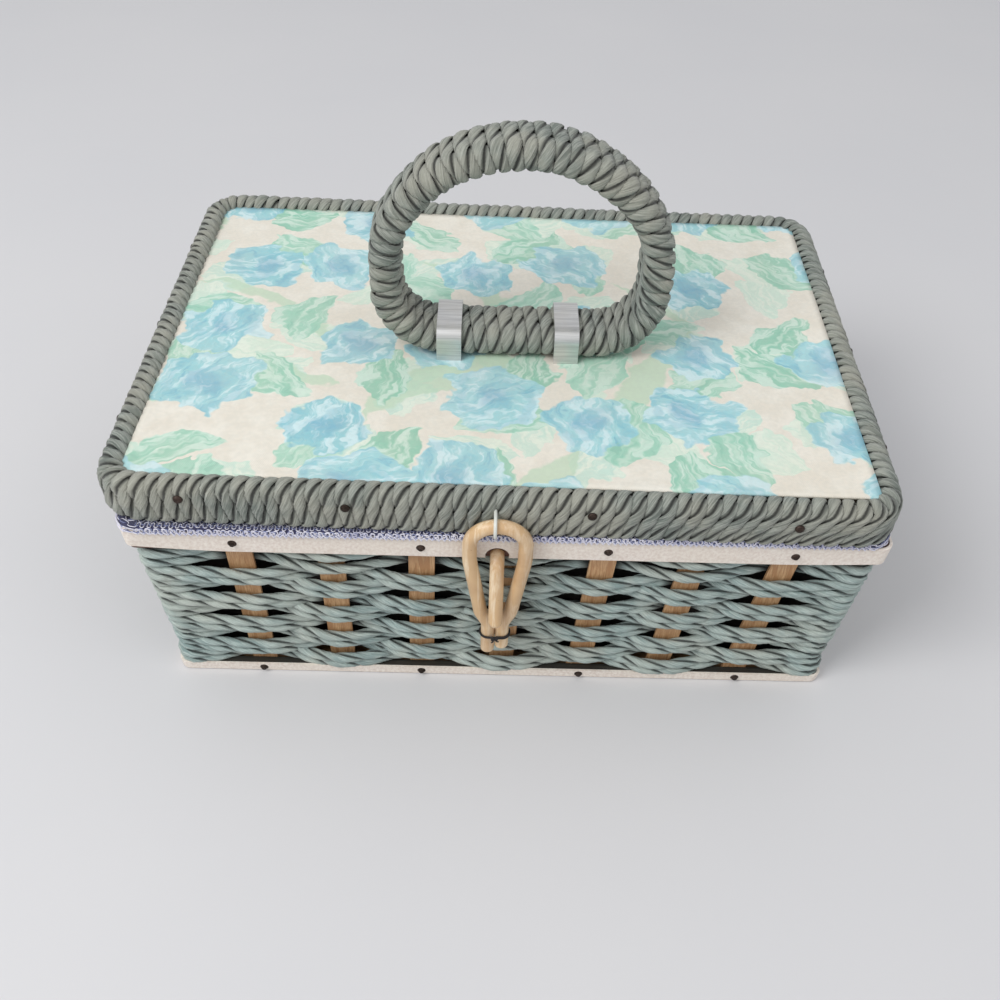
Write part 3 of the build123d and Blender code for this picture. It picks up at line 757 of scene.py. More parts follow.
def cord_mesh(name, cords):
    """Return one mesh of several cords, each given by its rings, distances, grooves, depths and whether it closes."""
    points, faces, uvs, grooves, depths = [], [], [], [], []
    first = 0
    for rings, distance, groove, depth, closed in cords:
        count, size, _ = rings.shape
        points.append(rings.reshape(-1, 3))
        grooves.append(np.tile(groove, count))
        depths.append(np.repeat(depth, size))
        spans = count if closed else count - 1
        row = np.arange(spans)[:, None]
        column = np.arange(size)[None, :]
        after_row, after_column = (row + 1) % count, (column + 1) % size
        quads = np.stack([
            row * size + column,
            row * size + after_column,
            after_row * size + after_column,
            after_row * size + column,
        ], axis=-1)
        faces.append(quads.reshape(-1, 4) + first)
        along = np.append(distance, distance[-1] + (distance[1] - distance[0])) / ply_map_length
        around = np.linspace(0, ply_map_breadth, size + 1)
        low_u, high_u = along[:spans][:, None], along[1:spans + 1][:, None]
        low_v, high_v = around[:-1][None, :], around[1:][None, :]
        corners = (low_u, low_v), (low_u, high_v), (high_u, high_v), (high_u, low_v)
        flat = np.ones((spans, size))
        uvs.append(np.stack([np.stack([u * flat, v * flat], -1) for u, v in corners], axis=2).reshape(-1, 2))
        first += count * size
    mesh = bpy.data.meshes.new(name)
    mesh.from_pydata(np.concatenate(points).tolist(), [], np.concatenate(faces).tolist())
    ply_map = mesh.uv_layers.new(name="along_the_ply")
    ply_map.data.foreach_set("uv", np.concatenate(uvs).astype(np.float32).ravel())
    for label, values in (("groove", grooves), ("depth", depths)):
        stored = mesh.attributes.new(label, "FLOAT", "POINT")
        stored.data.foreach_set("value", np.concatenate(values).astype(np.float32))
    mesh.shade_smooth()
    piece = bpy.data.objects.new(name, mesh)
    scene.collection.objects.link(piece)
    return piece


# %% [markdown]
# ## The weave
#
# Each course of the weave is a pair of cords that goes outside one stake and inside the next, all the way round.
# Outside a stake the pair spreads, and inside it is squeezed, which leaves the small windows where a stake shows
# with a gap at each side, darkened by shade painted on the cord. The wall's sizes are read from the solid model's
# stakes, bands and courses.

# %% Wall sizes
half_stake = 0.5 * MM
front_low, front_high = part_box("stakes_front")
side_low, side_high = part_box("stakes_right")
stake_foot, stake_top = front_low.z, front_high.z
foot_half = np.array([side_low.x + half_stake, -front_high.y + half_stake])
mouth_half = np.array([side_high.x - half_stake, -front_low.y - half_stake])
wall_corner = 1.6 * MM
front_stakes, side_stakes = 7, 5
stake_pitch_foot, stake_pitch_mouth = 23.05 * MM, 24.4 * MM
stake_shift_foot, stake_shift_mouth = -0.4 * MM, 2.2 * MM
course_count = 9
courses = [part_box(f"weave_course_{number + 1}") for number in range(course_count)]
course_heights = [(low.z + high.z) / 2 for low, high in courses]
course_rises = np.array([0.8, -1.8, -0.2, -2.1, -0.6, -2.2, -1.7, -1.6, -0.3]) * MM


def wall_half(height):
    """Return the wall's half width and half depth, to the middle of the stakes, at a height."""
    share = (height - stake_foot) / (stake_top - stake_foot)
    return foot_half + (mouth_half - foot_half) * share


def from_front_corner(points, side, half_x, half_y):
    """Return how far points lie from a front corner of the wall. The way back along the side counts half."""
    return np.abs(points[:, 0] - side * half_x) + 0.5 * np.abs(points[:, 1] + half_y)


def weave_marks(height):
    """Return how far round the wall the stakes and corners are at a height, and the swing of a pair at each."""
    half_x, half_y = wall_half(height)
    share = (height - stake_foot) / (stake_top - stake_foot)
    pitch = stake_pitch_foot + (stake_pitch_mouth - stake_pitch_foot) * share
    shift = stake_shift_foot + (stake_shift_mouth - stake_shift_foot) * share
    corner_turn = math.pi * wall_corner / 2
    quarter = half_x + half_y - 2 * wall_corner + corner_turn
    marks, swings, way = [], [], 1
    for side in range(4):
        count, half = ((front_stakes, half_x), (side_stakes, half_y))[side % 2]
        for number in range(count):
            marks.append(side * quarter + (number - count // 2) * pitch + shift)
            swings.append(way)
            way = -way
        marks.append(side * quarter + half - wall_corner + corner_turn / 2)
        swings.append(0)
    return np.array(marks), np.array(swings)


# %% Weave
cord_size = 2.95 * MM
cord_thickness = 0.96 * cord_size
cord_swing = 2.15 * MM
cord_step = 0.9 * MM
cord_twist_length = 18.0 * MM
cord_dwell = 0.15
spread_by_swing = ([-1.0, -0.6, 0.0, 1.0], [1.0 * MM, 1.34 * MM, 1.36 * MM, 1.38 * MM])
squeeze_swings = [0.4, 0.95]
outside_sag = 0.5 * MM
pair_wander, height_wander, out_wander = 0.12 * MM, 0.07 * MM, 0.06 * MM
wander_waves = (2, 3, 5, 8, 13, 21)
wander_split = 2.4
last_course_hang = 0.9 * MM
lowest_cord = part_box("bottom_band")[1].z + 0.8 * MM
corner_swing = 0.8
corner_rise = -0.3 * MM
corner_reach = 1.3
lift_spread = 34.0 * MM
first_course_spread = 1.3 * MM
first_course_lifts = ((-1, 1.3 * MM), (1, 1.0 * MM))
lower_cord_lift = 0.3
random_source = np.random.default_rng(7)


def swing_at(distance, length, marks, swings):
    """Return how far a pair swings, 1 outside a stake and -1 inside it, at distances round the wall."""
    marks = np.append(marks, marks[0] + length)
    swings = np.append(swings, swings[0])
    number = np.clip(np.searchsorted(marks, distance, side="right") - 1, 0, len(marks) - 2)
    share = (distance - marks[number]) / (marks[number + 1] - marks[number])
    ease = (1 - np.cos(math.pi * share)) / 2
    return swings[number] + (swings[number + 1] - swings[number]) * ease


def slow_wander(distance, length, amount):
    """Return a slow random wander that closes on itself."""
    total = np.zeros_like(distance)
    for waves in wander_waves:
        strength, start = random_source.normal(0, amount / wander_split), random_source.uniform(0, 2 * math.pi)
        total += strength * np.sin(2 * math.pi * waves * distance / length + start)
    return total


def corner_lift(points, half_x, half_y):
    """Return how far the first course rises at each point, to follow the band at the front corners."""
    total = np.zeros(len(points))
    for side, lift in first_course_lifts:
        total += lift * np.clip(1 - from_front_corner(points, side, half_x, half_y) / lift_spread, 0, 1)
    return total


def corner_share(points, half_x, half_y):
    """Return 1 at the wall's corners, falling to 0 along its sides."""
    away = np.hypot(half_x - np.abs(points[:, 0]), half_y - np.abs(points[:, 1]))
    return np.clip(corner_reach - away / lift_spread, 0, 1)


def weave_course(number):
    """Return one course of the weave, a pair of twisted cords."""
    middle = course_heights[number] + course_rises[number]
    half_x, half_y = wall_half(middle)
    length = loop_length(half_x, half_y, wall_corner)
    marks, swings = weave_marks(middle)
    swings = np.where(swings == 0, corner_swing, swings * (-1 if number % 2 == 0 else 1))
    count = int(length / cord_step)
    turns = round(length / cord_twist_length)
    distance = np.linspace(marks[0], marks[0] + length, count, endpoint=False)
    swing = swing_at(distance, length, marks, swings)
    points, outward = round_loop(distance, half_x, half_y, wall_corner)
    normals = np.column_stack([outward, np.zeros(count)])
    at_corner = corner_share(points, half_x, half_y)
    spread = np.interp(swing, *spread_by_swing) + (first_course_spread * (1 - at_corner) if number == 0 else 0)
    squeeze = np.clip(spread / spread_by_swing[1][1], 0, 1)[:, None, None]
    # depth is 1 where the pair goes inside a stake: the cord's finish paints shade there, for the dark gaps beside
    # the stake.
    depth = np.interp(-swing, squeeze_swings, [0.0, 1.0])
    hang = last_course_hang if number == course_count - 1 else 0.0
    middle = middle + at_corner * (corner_rise - course_rises[number])
    dip = slow_wander(distance, length, pair_wander)
    cords = []
    for rank in (1, -1):
        height = middle + rank * spread + dip - outside_sag * swing + slow_wander(distance, length, height_wander)
        height = np.maximum(height, lowest_cord)
        if number == 0:
            height = height + corner_lift(points, half_x, half_y) * (1.0 if rank > 0 else lower_cord_lift)
        lean = np.array([wall_half(level)[0] for level in height]) - half_x
        out = swing * cord_swing + hang + lean + slow_wander(distance, length, out_wander)
        path = np.column_stack([points + outward * out[:, None], height])
        phase = random_source.uniform(0, math.pi)
        rings, along, groove = cord_rings(
            path, normals, cord_size, cord_thickness, turns, phase, cord_dwell, closed=True,
        )
        squeezed = rings - path[:, None, :]
        squeezed[:, :, 2:] *= squeeze
        cords.append((path[:, None, :] + squeezed, along, groove, depth, True))
    return cord_mesh(f"weft_{number + 1}", cords)


for number in range(course_count):
    finish_piece(
        weave_course(number), f"weft_{number + 1}", weave_cord, "basket", (f"weave_course_{number + 1}",),
    )

# %% [markdown]
# ## Winding a cord round a hoop
#
# The rim and the handle are hoops wound tightly with the cord. Going round once, a turn moves along the hoop by its
# own width. So the cord's path has two distances: one along the hoop, and one round the hoop's section, which goes
# much faster. The section's outward direction is the surface direction that the cord lies on.


# %% Winding helper
wind_thickness = 2.1 * MM
wind_step = 0.9 * MM
twist_wander = 0.22
cord_fullness = 1.14
room_limits = (0.6, 1.6)
turn_wander = 0.05
swell_share = 0.06
swell_rate = 2.39
swell_limits = (0.86, 1.1)


def room_between(path, samples_per_turn):
    """Return how much room each point of a winding has between the turns beside it, square to the cord."""
    tangent = np.roll(path, -1, axis=0) - np.roll(path, 1, axis=0)
    tangent /= np.linalg.norm(tangent, axis=1)[:, None]
    ahead = np.roll(path, -samples_per_turn, axis=0) - path
    ahead -= np.sum(ahead * tangent, axis=1)[:, None] * tangent
    room = np.linalg.norm(ahead, axis=1)
    room = (room + np.roll(room, samples_per_turn)) / 2
    return np.clip(room, room_limits[0] * room.mean(), room_limits[1] * room.mean())


def between_turns(values, turn):
    """Return values given for each whole turn at the places between them, closing on the first."""
    return np.interp(turn, np.arange(len(values) + 1), np.append(values, values[0]))


def wind(spine, spine_length, section, turns, twists_per_turn, dwell, lean, seed, phase=0.0):
    """Return a closed winding. spine gives a place, an outward and an upward direction at each distance along it."""
    source = np.random.default_rng(seed)
    round_length = loop_length(*section)
    samples_per_turn = int(round_length / wind_step)
    turn = np.linspace(0, turns, turns * samples_per_turn, endpoint=False)
    around, direction = round_loop(turn * round_length, *section)
    bulge = between_turns(source.normal(0, turn_wander, turns + 1)[:turns], turn)
    phases = phase + between_turns(source.normal(0, twist_wander, turns + 1)[:turns], turn)
    along = turn / turns * spine_length
    along = along + lean(along / spine_length, np.mod(turn, 1.0)) + bulge * spine_length / turns
    centre, outward, upward = spine(np.mod(along, spine_length))
    path = centre + outward * around[:, :1] + upward * around[:, 1:]
    normals = outward * direction[:, :1] + upward * direction[:, 1:]
    width = cord_fullness * room_between(path, samples_per_turn)
    rings, distance, groove = cord_rings(
        path, normals, width, wind_thickness, round(turns * twists_per_turn), phases, dwell, closed=True,
    )
    swell = np.clip(1 + swell_share * np.sin(turn * swell_rate) + bulge, *swell_limits)
    rings = path[:, None, :] + (rings - path[:, None, :]) * swell[:, None, None]
    return rings, distance, groove, np.zeros(len(turn)), True


# %% [markdown]
# ## The rim's winding
#
# The rim is a hoop that follows the lid's outline. Its winding leans: at the left the turns stand nearly upright,
# and towards the right they lean more and more, because the cord was pulled that way as it was wound.

# %% Rim winding
rim_low, rim_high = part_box("rim_wrap")
rim_thickness = 7.3 * MM
lid_corner = 12.0 * MM
lid_turn = math.radians(-0.8)
lid_lean_along = -0.0066
lid_lean_back = 0.0113
rim_turns = 186
rim_twists = 2.0
rim_dwell = -0.06
rim_phase = math.radians(-30)
rim_seed = 11
rim_cord_corner = 2.4 * MM
rim_centre_x = (rim_low.x + rim_high.x) / 2
rim_half = np.array([(rim_high.x - rim_low.x - rim_thickness) / 2, rim_high.y - rim_thickness / 2])
rim_corner = lid_corner - rim_thickness / 2
rim_length = loop_length(*rim_half, rim_corner)
rim_middle = (rim_low.z + rim_high.z) / 2
rim_section = (
    (rim_thickness - wind_thickness) / 2, (rim_high.z - rim_low.z - wind_thickness) / 2, rim_cord_corner,
)


def askew(places, lean_share=1.0):
    """Return places on the lid, given from its middle, as they lie on the worn lid that sits a little askew."""
    x = places[:, 0] * math.cos(lid_turn) - places[:, 1] * math.sin(lid_turn)
    y = places[:, 0] * math.sin(lid_turn) + places[:, 1] * math.cos(lid_turn)
    z = places[:, 2] + lean_share * (lid_lean_along * places[:, 0] + lid_lean_back * places[:, 1])
    return np.column_stack([x + rim_centre_x, y, z])


def rim_spine(distance):
    """Return places along the middle of the rim, with their outward and upward directions."""
    points, outward = round_loop(distance, *rim_half, rim_corner)
    places = askew(np.column_stack([points, np.full(len(points), rim_middle)]))
    level = np.column_stack([outward, np.zeros(len(points))])
    return places, level, np.tile([0.0, 0.0, 1.0], (len(points), 1))


rim_pull_places = [0.0, 0.07, 0.13, 0.17, 0.24, 0.34, 0.5, 0.72, 0.84, 0.9, 1.0]
rim_pulls = np.array([-0.7, 0.9, 2.6, 1.5, 0.0, -0.5, -0.5, -0.8, -1.5, -1.9, -0.7]) * MM
turn_places = [0.0, 0.1, 0.4, 0.5, 0.6, 0.9, 1.0]
turn_pulls = [-0.85, -1.0, 1.0, 0.95, 0.8, -0.7, -0.85]


def rim_lean(share, turn_share):
    """Return how far a turn is pulled along the rim, more at its top and towards the front's right end."""
    return np.interp(share, rim_pull_places, rim_pulls) * np.interp(turn_share, turn_places, turn_pulls)


rim_winding = cord_mesh("rim_winding", [wind(
    rim_spine, rim_length, rim_section, rim_turns, rim_twists, rim_dwell, rim_lean, rim_seed, rim_phase,
)])
finish_piece(rim_winding, "rim_winding", wrap_cord, "lid", ("rim_wrap",))

# %% The hoop inside the rim
core_inset = 1.75 * MM
core_corner = 1.2 * MM
core_points, core_samples = 20, 240
core_section = (rim_thickness / 2 - core_inset, (rim_high.z - rim_low.z) / 2 - core_inset, core_corner)
core_around = np.linspace(0, loop_length(*core_section), core_points, endpoint=False)
core_outline = round_loop(core_around, *core_section)[0]
core_distance = np.linspace(0, rim_length, core_samples, endpoint=False)
core_centre, core_outward, core_upward = rim_spine(core_distance)
core_rings = (
    core_centre[:, None, :] + core_outward[:, None, :] * core_outline[None, :, :1]
    + core_upward[:, None, :] * core_outline[None, :, 1:]
)
rim_core = cord_mesh("rim_core", [plain(core_rings, core_distance)])
# The core is near black, painted shade, for where it shows between the turns.
finish_piece(rim_core, "rim_core", painted_shade_cane, "lid", ("lid_rim_hoop",))

# %% [markdown]
# ## The handle's winding
#
# The handle is a flat-bottomed oval made of straights and arcs. Each arc is a steady turn, so the oval is described
# by how its heading changes with distance, and adding up the small steps gives its shape.

# %% Handle winding
handle_low, handle_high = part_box("handle_wrap")
handle_place_x = (handle_low.x + handle_high.x) / 2
handle_place_y = (handle_low.y + handle_high.y) / 2
handle_section_height = 9.0 * MM
handle_depth = handle_high.y - handle_low.y
handle_half = (handle_high.x - handle_low.x - handle_section_height) / 2
handle_rise = handle_high.z - handle_low.z - handle_section_height
flat_half = 21.5 * MM
side_run = 8.5 * MM
shoulder_radius = 24.0 * MM
low_radius = handle_half - flat_half
shoulder_inset = handle_half - shoulder_radius
crown_height = handle_rise - low_radius - side_run
crown_radius = (shoulder_inset**2 + crown_height**2 - shoulder_radius**2) / (2 * (crown_height - shoulder_radius))
shoulder_turn = math.atan((crown_radius - crown_height) / shoulder_inset)
crown_turn = math.pi / 2 - shoulder_turn
handle_turns = 57
handle_twists = 2.43
handle_slant = 1.2 * MM
handle_seed = 5
handle_cord_corner = 2.9 * MM
handle_sample_count = 4001
handle_runs = [
    (flat_half, 0.0),
    (low_radius * math.pi / 2, math.pi / 2),
    (side_run, 0.0),
    (shoulder_radius * shoulder_turn, shoulder_turn),
    (crown_radius * crown_turn, crown_turn),
]
handle_runs = handle_runs + handle_runs[::-1]
handle_marks = np.cumsum([0.0] + [run for run, turn in handle_runs])
handle_headings = np.cumsum([0.0] + [turn for run, turn in handle_runs])
handle_length = handle_marks[-1]
handle_samples = np.linspace(0, handle_length, handle_sample_count)


def added_up(slopes):
    """Return the sum of a curve's small steps up to each sample, from its slope there."""
    return np.concatenate([[0], np.cumsum((slopes[1:] + slopes[:-1]) / 2)]) * handle_samples[1]


sample_heading = np.interp(handle_samples, handle_marks, handle_headings)
sample_x = handle_place_x + added_up(np.cos(sample_heading))
sample_z = handle_low.z + handle_section_height / 2 + added_up(np.sin(sample_heading))
handle_gap = math.hypot(sample_x[-1] - sample_x[0], sample_z[-1] - sample_z[0])
print("handle's oval closes to", round(handle_gap / MM, 3), "mm")
handle_section = (
    (handle_depth - wind_thickness) / 2, (handle_section_height - wind_thickness) / 2, handle_cord_corner,
)


def handle_spine(distance):
    """Return places along the handle's oval, with the directions across it and out of it."""
    heading = np.interp(distance, handle_marks, handle_headings)
    x = np.interp(distance, handle_samples, sample_x)
    z = np.interp(distance, handle_samples, sample_z)
    places = np.column_stack([x, np.full(len(distance), handle_place_y), z])
    outward = np.column_stack([np.sin(heading), np.zeros(len(distance)), -np.cos(heading)])
    return places, np.tile([0.0, -1.0, 0.0], (len(distance), 1)), outward


def handle_lean(share, turn_share):
    """Return how far a turn is pulled along the handle: the turns slant on its two sides and stand up on top."""
    return handle_slant * np.sin(2 * math.pi * share) * np.cos(2 * math.pi * turn_share)


handle_winding = cord_mesh("handle_winding", [wind(
    handle_spine, handle_length, handle_section, handle_turns, handle_twists, 0.0, handle_lean, handle_seed,
)])
finish_piece(handle_winding, "handle_winding", wrap_cord, "lid", ("handle_wrap",))

# %% [markdown]
# ## The braid over the mouth
#
# A navy ribbon is folded over the wall's top edge, so that it hides the hoops and the liner, and its outer edge
# hangs just over the band. Loops of white and lilac thread zigzag through it, and a row of white scallops ends it.
# The ribbon is a section that follows the wall's rounded rectangle. Each thread is a path that goes up and down as
# it goes round, a little unevenly, and is sunk halfway into the ribbon.

# %% Braid ribbon
braid_low, braid_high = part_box("mouth_braid")
mouth_rim_half = wall_half(stake_top)
braid_out = braid_high.x - mouth_rim_half[0]
braid_width = 9.5 * MM
ribbon_samples = 900
braid_in = braid_out - braid_width
ribbon_edge_height = braid_low.z + 0.9 * MM
ribbon_surface = braid_out - 0.2 * MM
tuck_depth = 1.7 * MM
tuck_start = 58.0 * MM
tuck_run = 30.0 * MM


def ring_of(distance, half, corner, section):
    """Return the rings of a closed band whose section, in outward and upward distances, goes round a loop."""
    rings = np.empty((len(distance), len(section), 3))
    for number, (out, height) in enumerate(section):
        rings[:, number, :2] = round_loop(distance, *half, corner, grow=out)[0]
        rings[:, number, 2] = height
    return rings


def tucked(places):
    """Return places with those at the right end drawn in, where the braid hides behind the band."""
    places = places.copy()
    places[..., 0] -= tuck_depth * np.clip((places[..., 0] - tuck_start) / tuck_run, 0, 1)
    return places


ribbon_edge = (
    (braid_in, braid_low.z),
    (ribbon_surface - 1.6 * MM, braid_low.z),
    (ribbon_surface - 0.6 * MM, ribbon_edge_height),
    (ribbon_surface - 0.2 * MM, ribbon_edge_height),
    (ribbon_surface, ribbon_edge_height + 0.3 * MM),
    (ribbon_surface, braid_high.z - 0.7 * MM),
    (ribbon_surface - 0.3 * MM, braid_high.z - 0.2 * MM),
    (ribbon_surface - 0.9 * MM, braid_high.z),
    (ribbon_surface - 3.0 * MM, braid_high.z - 0.15 * MM),
    (braid_in + 3.0 * MM, braid_high.z - 0.15 * MM),
    (braid_in + 0.8 * MM, braid_high.z),
    (braid_in, braid_high.z - 0.5 * MM),
)
mouth_length = loop_length(*mouth_rim_half, wall_corner)
ribbon_distance = np.linspace(0, mouth_length, ribbon_samples, endpoint=False)
ribbon_rings = tucked(ring_of(ribbon_distance, mouth_rim_half, wall_corner, ribbon_edge))
mouth_ribbon = cord_mesh("mouth_ribbon", [plain(ribbon_rings, ribbon_distance)])
mouth_ribbon.data.shade_flat()
finish_piece(mouth_ribbon, "mouth_ribbon", braid_ribbon, "basket", ("mouth_braid",))

# %% Braid threads
loop_points, loop_sides = 16, 5
loop_unevenness = 0.32
sway_along, sway_upright = 0.2, 0.7
face_rise, face_wave = 0.55, 0.45
top_sink, top_wave = 0.02 * MM, 0.3
droop_start, droop = 0.3, 0.35 * MM
thread_source = np.random.default_rng(23)


def zigzag(pitch, low, high, phase, radius, curl, flat=False):
    """Return a thread that loops up and down on the ribbon, once in each pitch, lower towards the left.

    Its lengths are in mm, and low and high are heights over the ribbon's low edge. A flat thread lies on the
    ribbon's top, and its low and high are distances in from the ribbon's face.
    """
    base = 0.0 if flat else braid_low.z
    low, high, radius = base + low * MM, base + high * MM, radius * MM
    loops = round(mouth_length / (pitch * MM))
    loop_share = np.arange(loops * loop_points) / loop_points
    turn = 2 * math.pi * loop_share + phase
    sway = between_turns(thread_source.normal(0, loop_unevenness, loops), loop_share)
    distance = (loop_share + curl * np.sin(2 * turn) + sway_along * sway) * mouth_length / loops
    rightward = round_loop(distance, *mouth_rim_half, wall_corner)[0][:, 0] / mouth_rim_half[0]
    height = (low + high) / 2 + (high - low) / 2 * np.cos(turn) * (1 + sway_upright * sway)
    if flat:
        lift = ribbon_surface - height
        height = braid_high.z - top_sink + top_wave * radius * np.sin(turn)
    else:
        lift = ribbon_surface + radius * (face_rise + face_wave * np.sin(turn))
        height = height - droop * np.maximum(droop_start - rightward, 0)
    points, outward = round_loop(distance, *mouth_rim_half, wall_corner, grow=lift)
    path = tucked(np.column_stack([points, height]))
    return thread(path, np.column_stack([outward, np.zeros(len(outward))]), radius, loop_sides, closed=True)


white_loops = cord_mesh("white_loops", [
    zigzag(2.3, 0.9, 2.1, 0.0, 0.17, 0.09),
    zigzag(1.5, 0.3, 1.3, 1.0, 0.21, -0.1),
    zigzag(1.9, 1.4, 2.35, 0.4, 0.16, 0.1),
    zigzag(1.8, 0.1, 1.7, 0.8, 0.12, 0.1, flat=True),
    zigzag(2.2, 1.5, 3.2, 0.2, 0.12, -0.1, flat=True),
])
finish_piece(white_loops, "white_loops", white_thread, "basket")
lilac_loops = cord_mesh("lilac_loops", [
    zigzag(2.1, 0.9, 2.3, 2.0, 0.15, 0.12),
    zigzag(1.4, 0.5, 1.5, 0.5, 0.12, -0.12),
    zigzag(1.9, 0.7, 2.4, 1.4, 0.12, 0.12, flat=True),
])
finish_piece(lilac_loops, "lilac_loops", lilac_thread, "basket")

# %% [markdown]
# ## The band round the mouth
#
# The vinyl strip round the mouth was nailed on by hand. It rises a little at the front's two corners, and its top
# edge climbs towards the left. So its section follows the wall's loop, with both rises added, and a cylinder cuts
# the notch that the peg comes through. Its loop is laid out a little outside the wall's, where a corner is rounder.

# %% Mouth band
band_low, band_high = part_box("top_band")
peg_low, peg_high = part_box("catch_peg")
band_thickness = 0.8 * MM
band_bevel = 0.25 * MM
band_crown = 0.04 * MM
band_face = band_high.x - wall_half(band_high.z)[0]
band_base = 2.5 * MM
band_corner = 2.2 * MM
corner_rises = ((-1, 1.3 * MM), (1, 0.9 * MM))
rise_spread = 26.0 * MM
rise_power = 1.5
rise_left_at_top = 0.1
band_top_places = [-96.0 * MM, -20.0 * MM, 40.0 * MM, 96.0 * MM]
band_top_rises = [1.2 * MM, 1.2 * MM, 0.2 * MM, 0.0]
notch_radius = 3.15 * MM
notch_depth = 30.0 * MM
peg_radius = 1.9 * MM
band_samples = 1400
band_profile = (
    (band_face - band_thickness, band_low.z),
    (band_face - band_bevel, band_low.z),
    (band_face, band_low.z + band_bevel),
    (band_face + band_crown, (band_low.z + band_high.z) / 2),
    (band_face, band_high.z - band_bevel),
    (band_face - band_bevel, band_high.z),
    (band_face - band_thickness, band_high.z),
)
band_section = [
    (out + wall_half(height)[0] - mouth_half[0] - band_base, height) for out, height in band_profile
]
band_half = mouth_rim_half[0] + band_base, mouth_rim_half[1] + band_base
band_distance = np.linspace(0, loop_length(*band_half, band_corner), band_samples, endpoint=False)
band_rings = ring_of(band_distance, band_half, band_corner, band_section)
middle_ring = band_rings.mean(axis=1)
top_share = np.clip((band_rings[:, :, 2] - band_low.z) / (band_high.z - band_low.z), 0, 1)
band_rings[:, :, 2] += top_share * np.interp(middle_ring[:, 0], band_top_places, band_top_rises)[:, None]
for side, rise in corner_rises:
    away = from_front_corner(middle_ring, side, *mouth_rim_half)
    lift = rise * np.clip(1 - away / rise_spread, 0, 1) ** rise_power
    band_rings[:, :, 2] += (1 - (1 - rise_left_at_top) * top_share) * lift[:, None]
mouth_band = cord_mesh("mouth_band", [plain(band_rings, band_distance)])
notch = add_primitive(
    bpy.ops.mesh.primitive_cylinder_add, vertices=40, radius=notch_radius, depth=notch_depth,
    location=((peg_low.x + peg_high.x) / 2, -mouth_rim_half[1], peg_high.z - peg_radius),
    rotation=(math.pi / 2, 0, 0),
)
cut = mouth_band.modifiers.new("notch", "BOOLEAN")
cut.operation = "DIFFERENCE"
cut.object = notch
cut.solver = "EXACT"
apply_modifiers(mouth_band)
bpy.data.objects.remove(notch)
mouth_band.data.shade_flat()
finish_piece(mouth_band, "mouth_band", band_vinyl, "basket", ("top_band",))

# %% [markdown]
# ## The binding of the loop
#
# The two ends of the cane loop are bound together with black thread, wound a few times and knotted in front. The
# winding is a helix round two rods side by side, so it goes along a loop with two round ends, and it climbs a little
# with each turn. Its tails hang down from the knot.

# %% Loop binding
binding_low, binding_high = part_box("toggle_binding")
binding_centre = np.array((binding_low + binding_high) / 2)
loop_tilt = math.radians(5.8)
loop_down = np.array([0.0, math.sin(loop_tilt), -math.cos(loop_tilt)])
loop_front = np.array([0.0, -math.cos(loop_tilt), -math.sin(loop_tilt)])
across = np.array([1.0, 0.0, 0.0])
binding_radius, knot_radius, tail_radius = 0.22 * MM, 0.34 * MM, 0.2 * MM
binding_reach = 2.2 * MM
binding_margin = 2.45 * MM
binding_half = (binding_high.x - binding_low.x) / 2 - binding_margin + binding_reach
binding_section = (binding_half, binding_reach, binding_reach)
binding_turns = 2.5
binding_climb = 0.9 * MM
binding_sway = 0.15 * MM
knot_centre = binding_centre - loop_down * 0.4 * MM
knot_half = (0.75 * MM, 0.55 * MM)
knot_rise, knot_wave = 0.35 * MM, 0.12 * MM
tail_rise, tail_gap, tail_wave = 0.4 * MM, 0.3 * MM, 0.3 * MM
tail_points, knot_points, points_per_turn, thread_sides = 14, 40, 48, 6


def tail(side, length, bend):
    """Return one tail of the knot, which hangs down and curls outwards."""
    share = np.linspace(0, 1, tail_points)[:, None]
    start = knot_centre + loop_front * (binding_reach + tail_rise) + across * side * tail_gap
    curl = across * side * bend * share**2 + loop_front * tail_wave * np.sin(3 * share)
    path = start + loop_down * length * share + curl
    return thread(path, np.tile(loop_front, (tail_points, 1)), tail_radius, thread_sides, closed=False)


turn_share = np.linspace(0, binding_turns, int(binding_turns * points_per_turn))
flat, flat_outward = round_loop(turn_share * loop_length(*binding_section), *binding_section)
climb = (turn_share / binding_turns - 1.0) * binding_climb + binding_sway * np.sin(2 * math.pi * turn_share)
winding_path = binding_centre - flat[:, 1:] * loop_front + flat[:, :1] * across + climb[:, None] * loop_down
winding_normals = -flat_outward[:, 1:] * loop_front + flat_outward[:, :1] * across
knot_angle = np.linspace(0, 2 * math.pi, knot_points)[:, None]
knot_path = (
    knot_centre
    + loop_front * (binding_reach + knot_rise + knot_wave * np.cos(3 * knot_angle))
    + across * knot_half[0] * np.sin(knot_angle)
    + loop_down * knot_half[1] * np.sin(2 * knot_angle)
)
binding = cord_mesh("binding", [
    thread(winding_path, winding_normals, binding_radius, thread_sides, closed=False),
    thread(knot_path, np.tile(loop_front, (knot_points, 1)), knot_radius, thread_sides, closed=False),
    tail(-1, 1.7 * MM, 0.6 * MM),
    tail(1, 1.2 * MM, 0.9 * MM),
])
finish_piece(binding, "loop_binding", black_thread, "toggle", ("toggle_binding",))

# %% [markdown]
# ## Padded satin inside
#
# The lid and the floor are lined with quilted pads, and the wall with gathered satin. A pad is a grid, extruded
# to its thickness, whose upper points are then moved: they rise between the seams, which cross it in diamonds, and
# sink to the edge. Simulated cloth would need a mesh far coarser than these seams, so the shape is worked out.

# %% Quilted pads
quilt_pitch = 25.0 * MM
pad_step = 1.7 * MM
pad_corner = 3.0 * MM
pad_edge = 5.0 * MM
pad_base_share, pad_puff_share = 0.35, 0.75
wrinkle_height = 0.12 * MM
wrinkle_rates = (900, 1100)
wrinkle_margin = 2.0 * MM


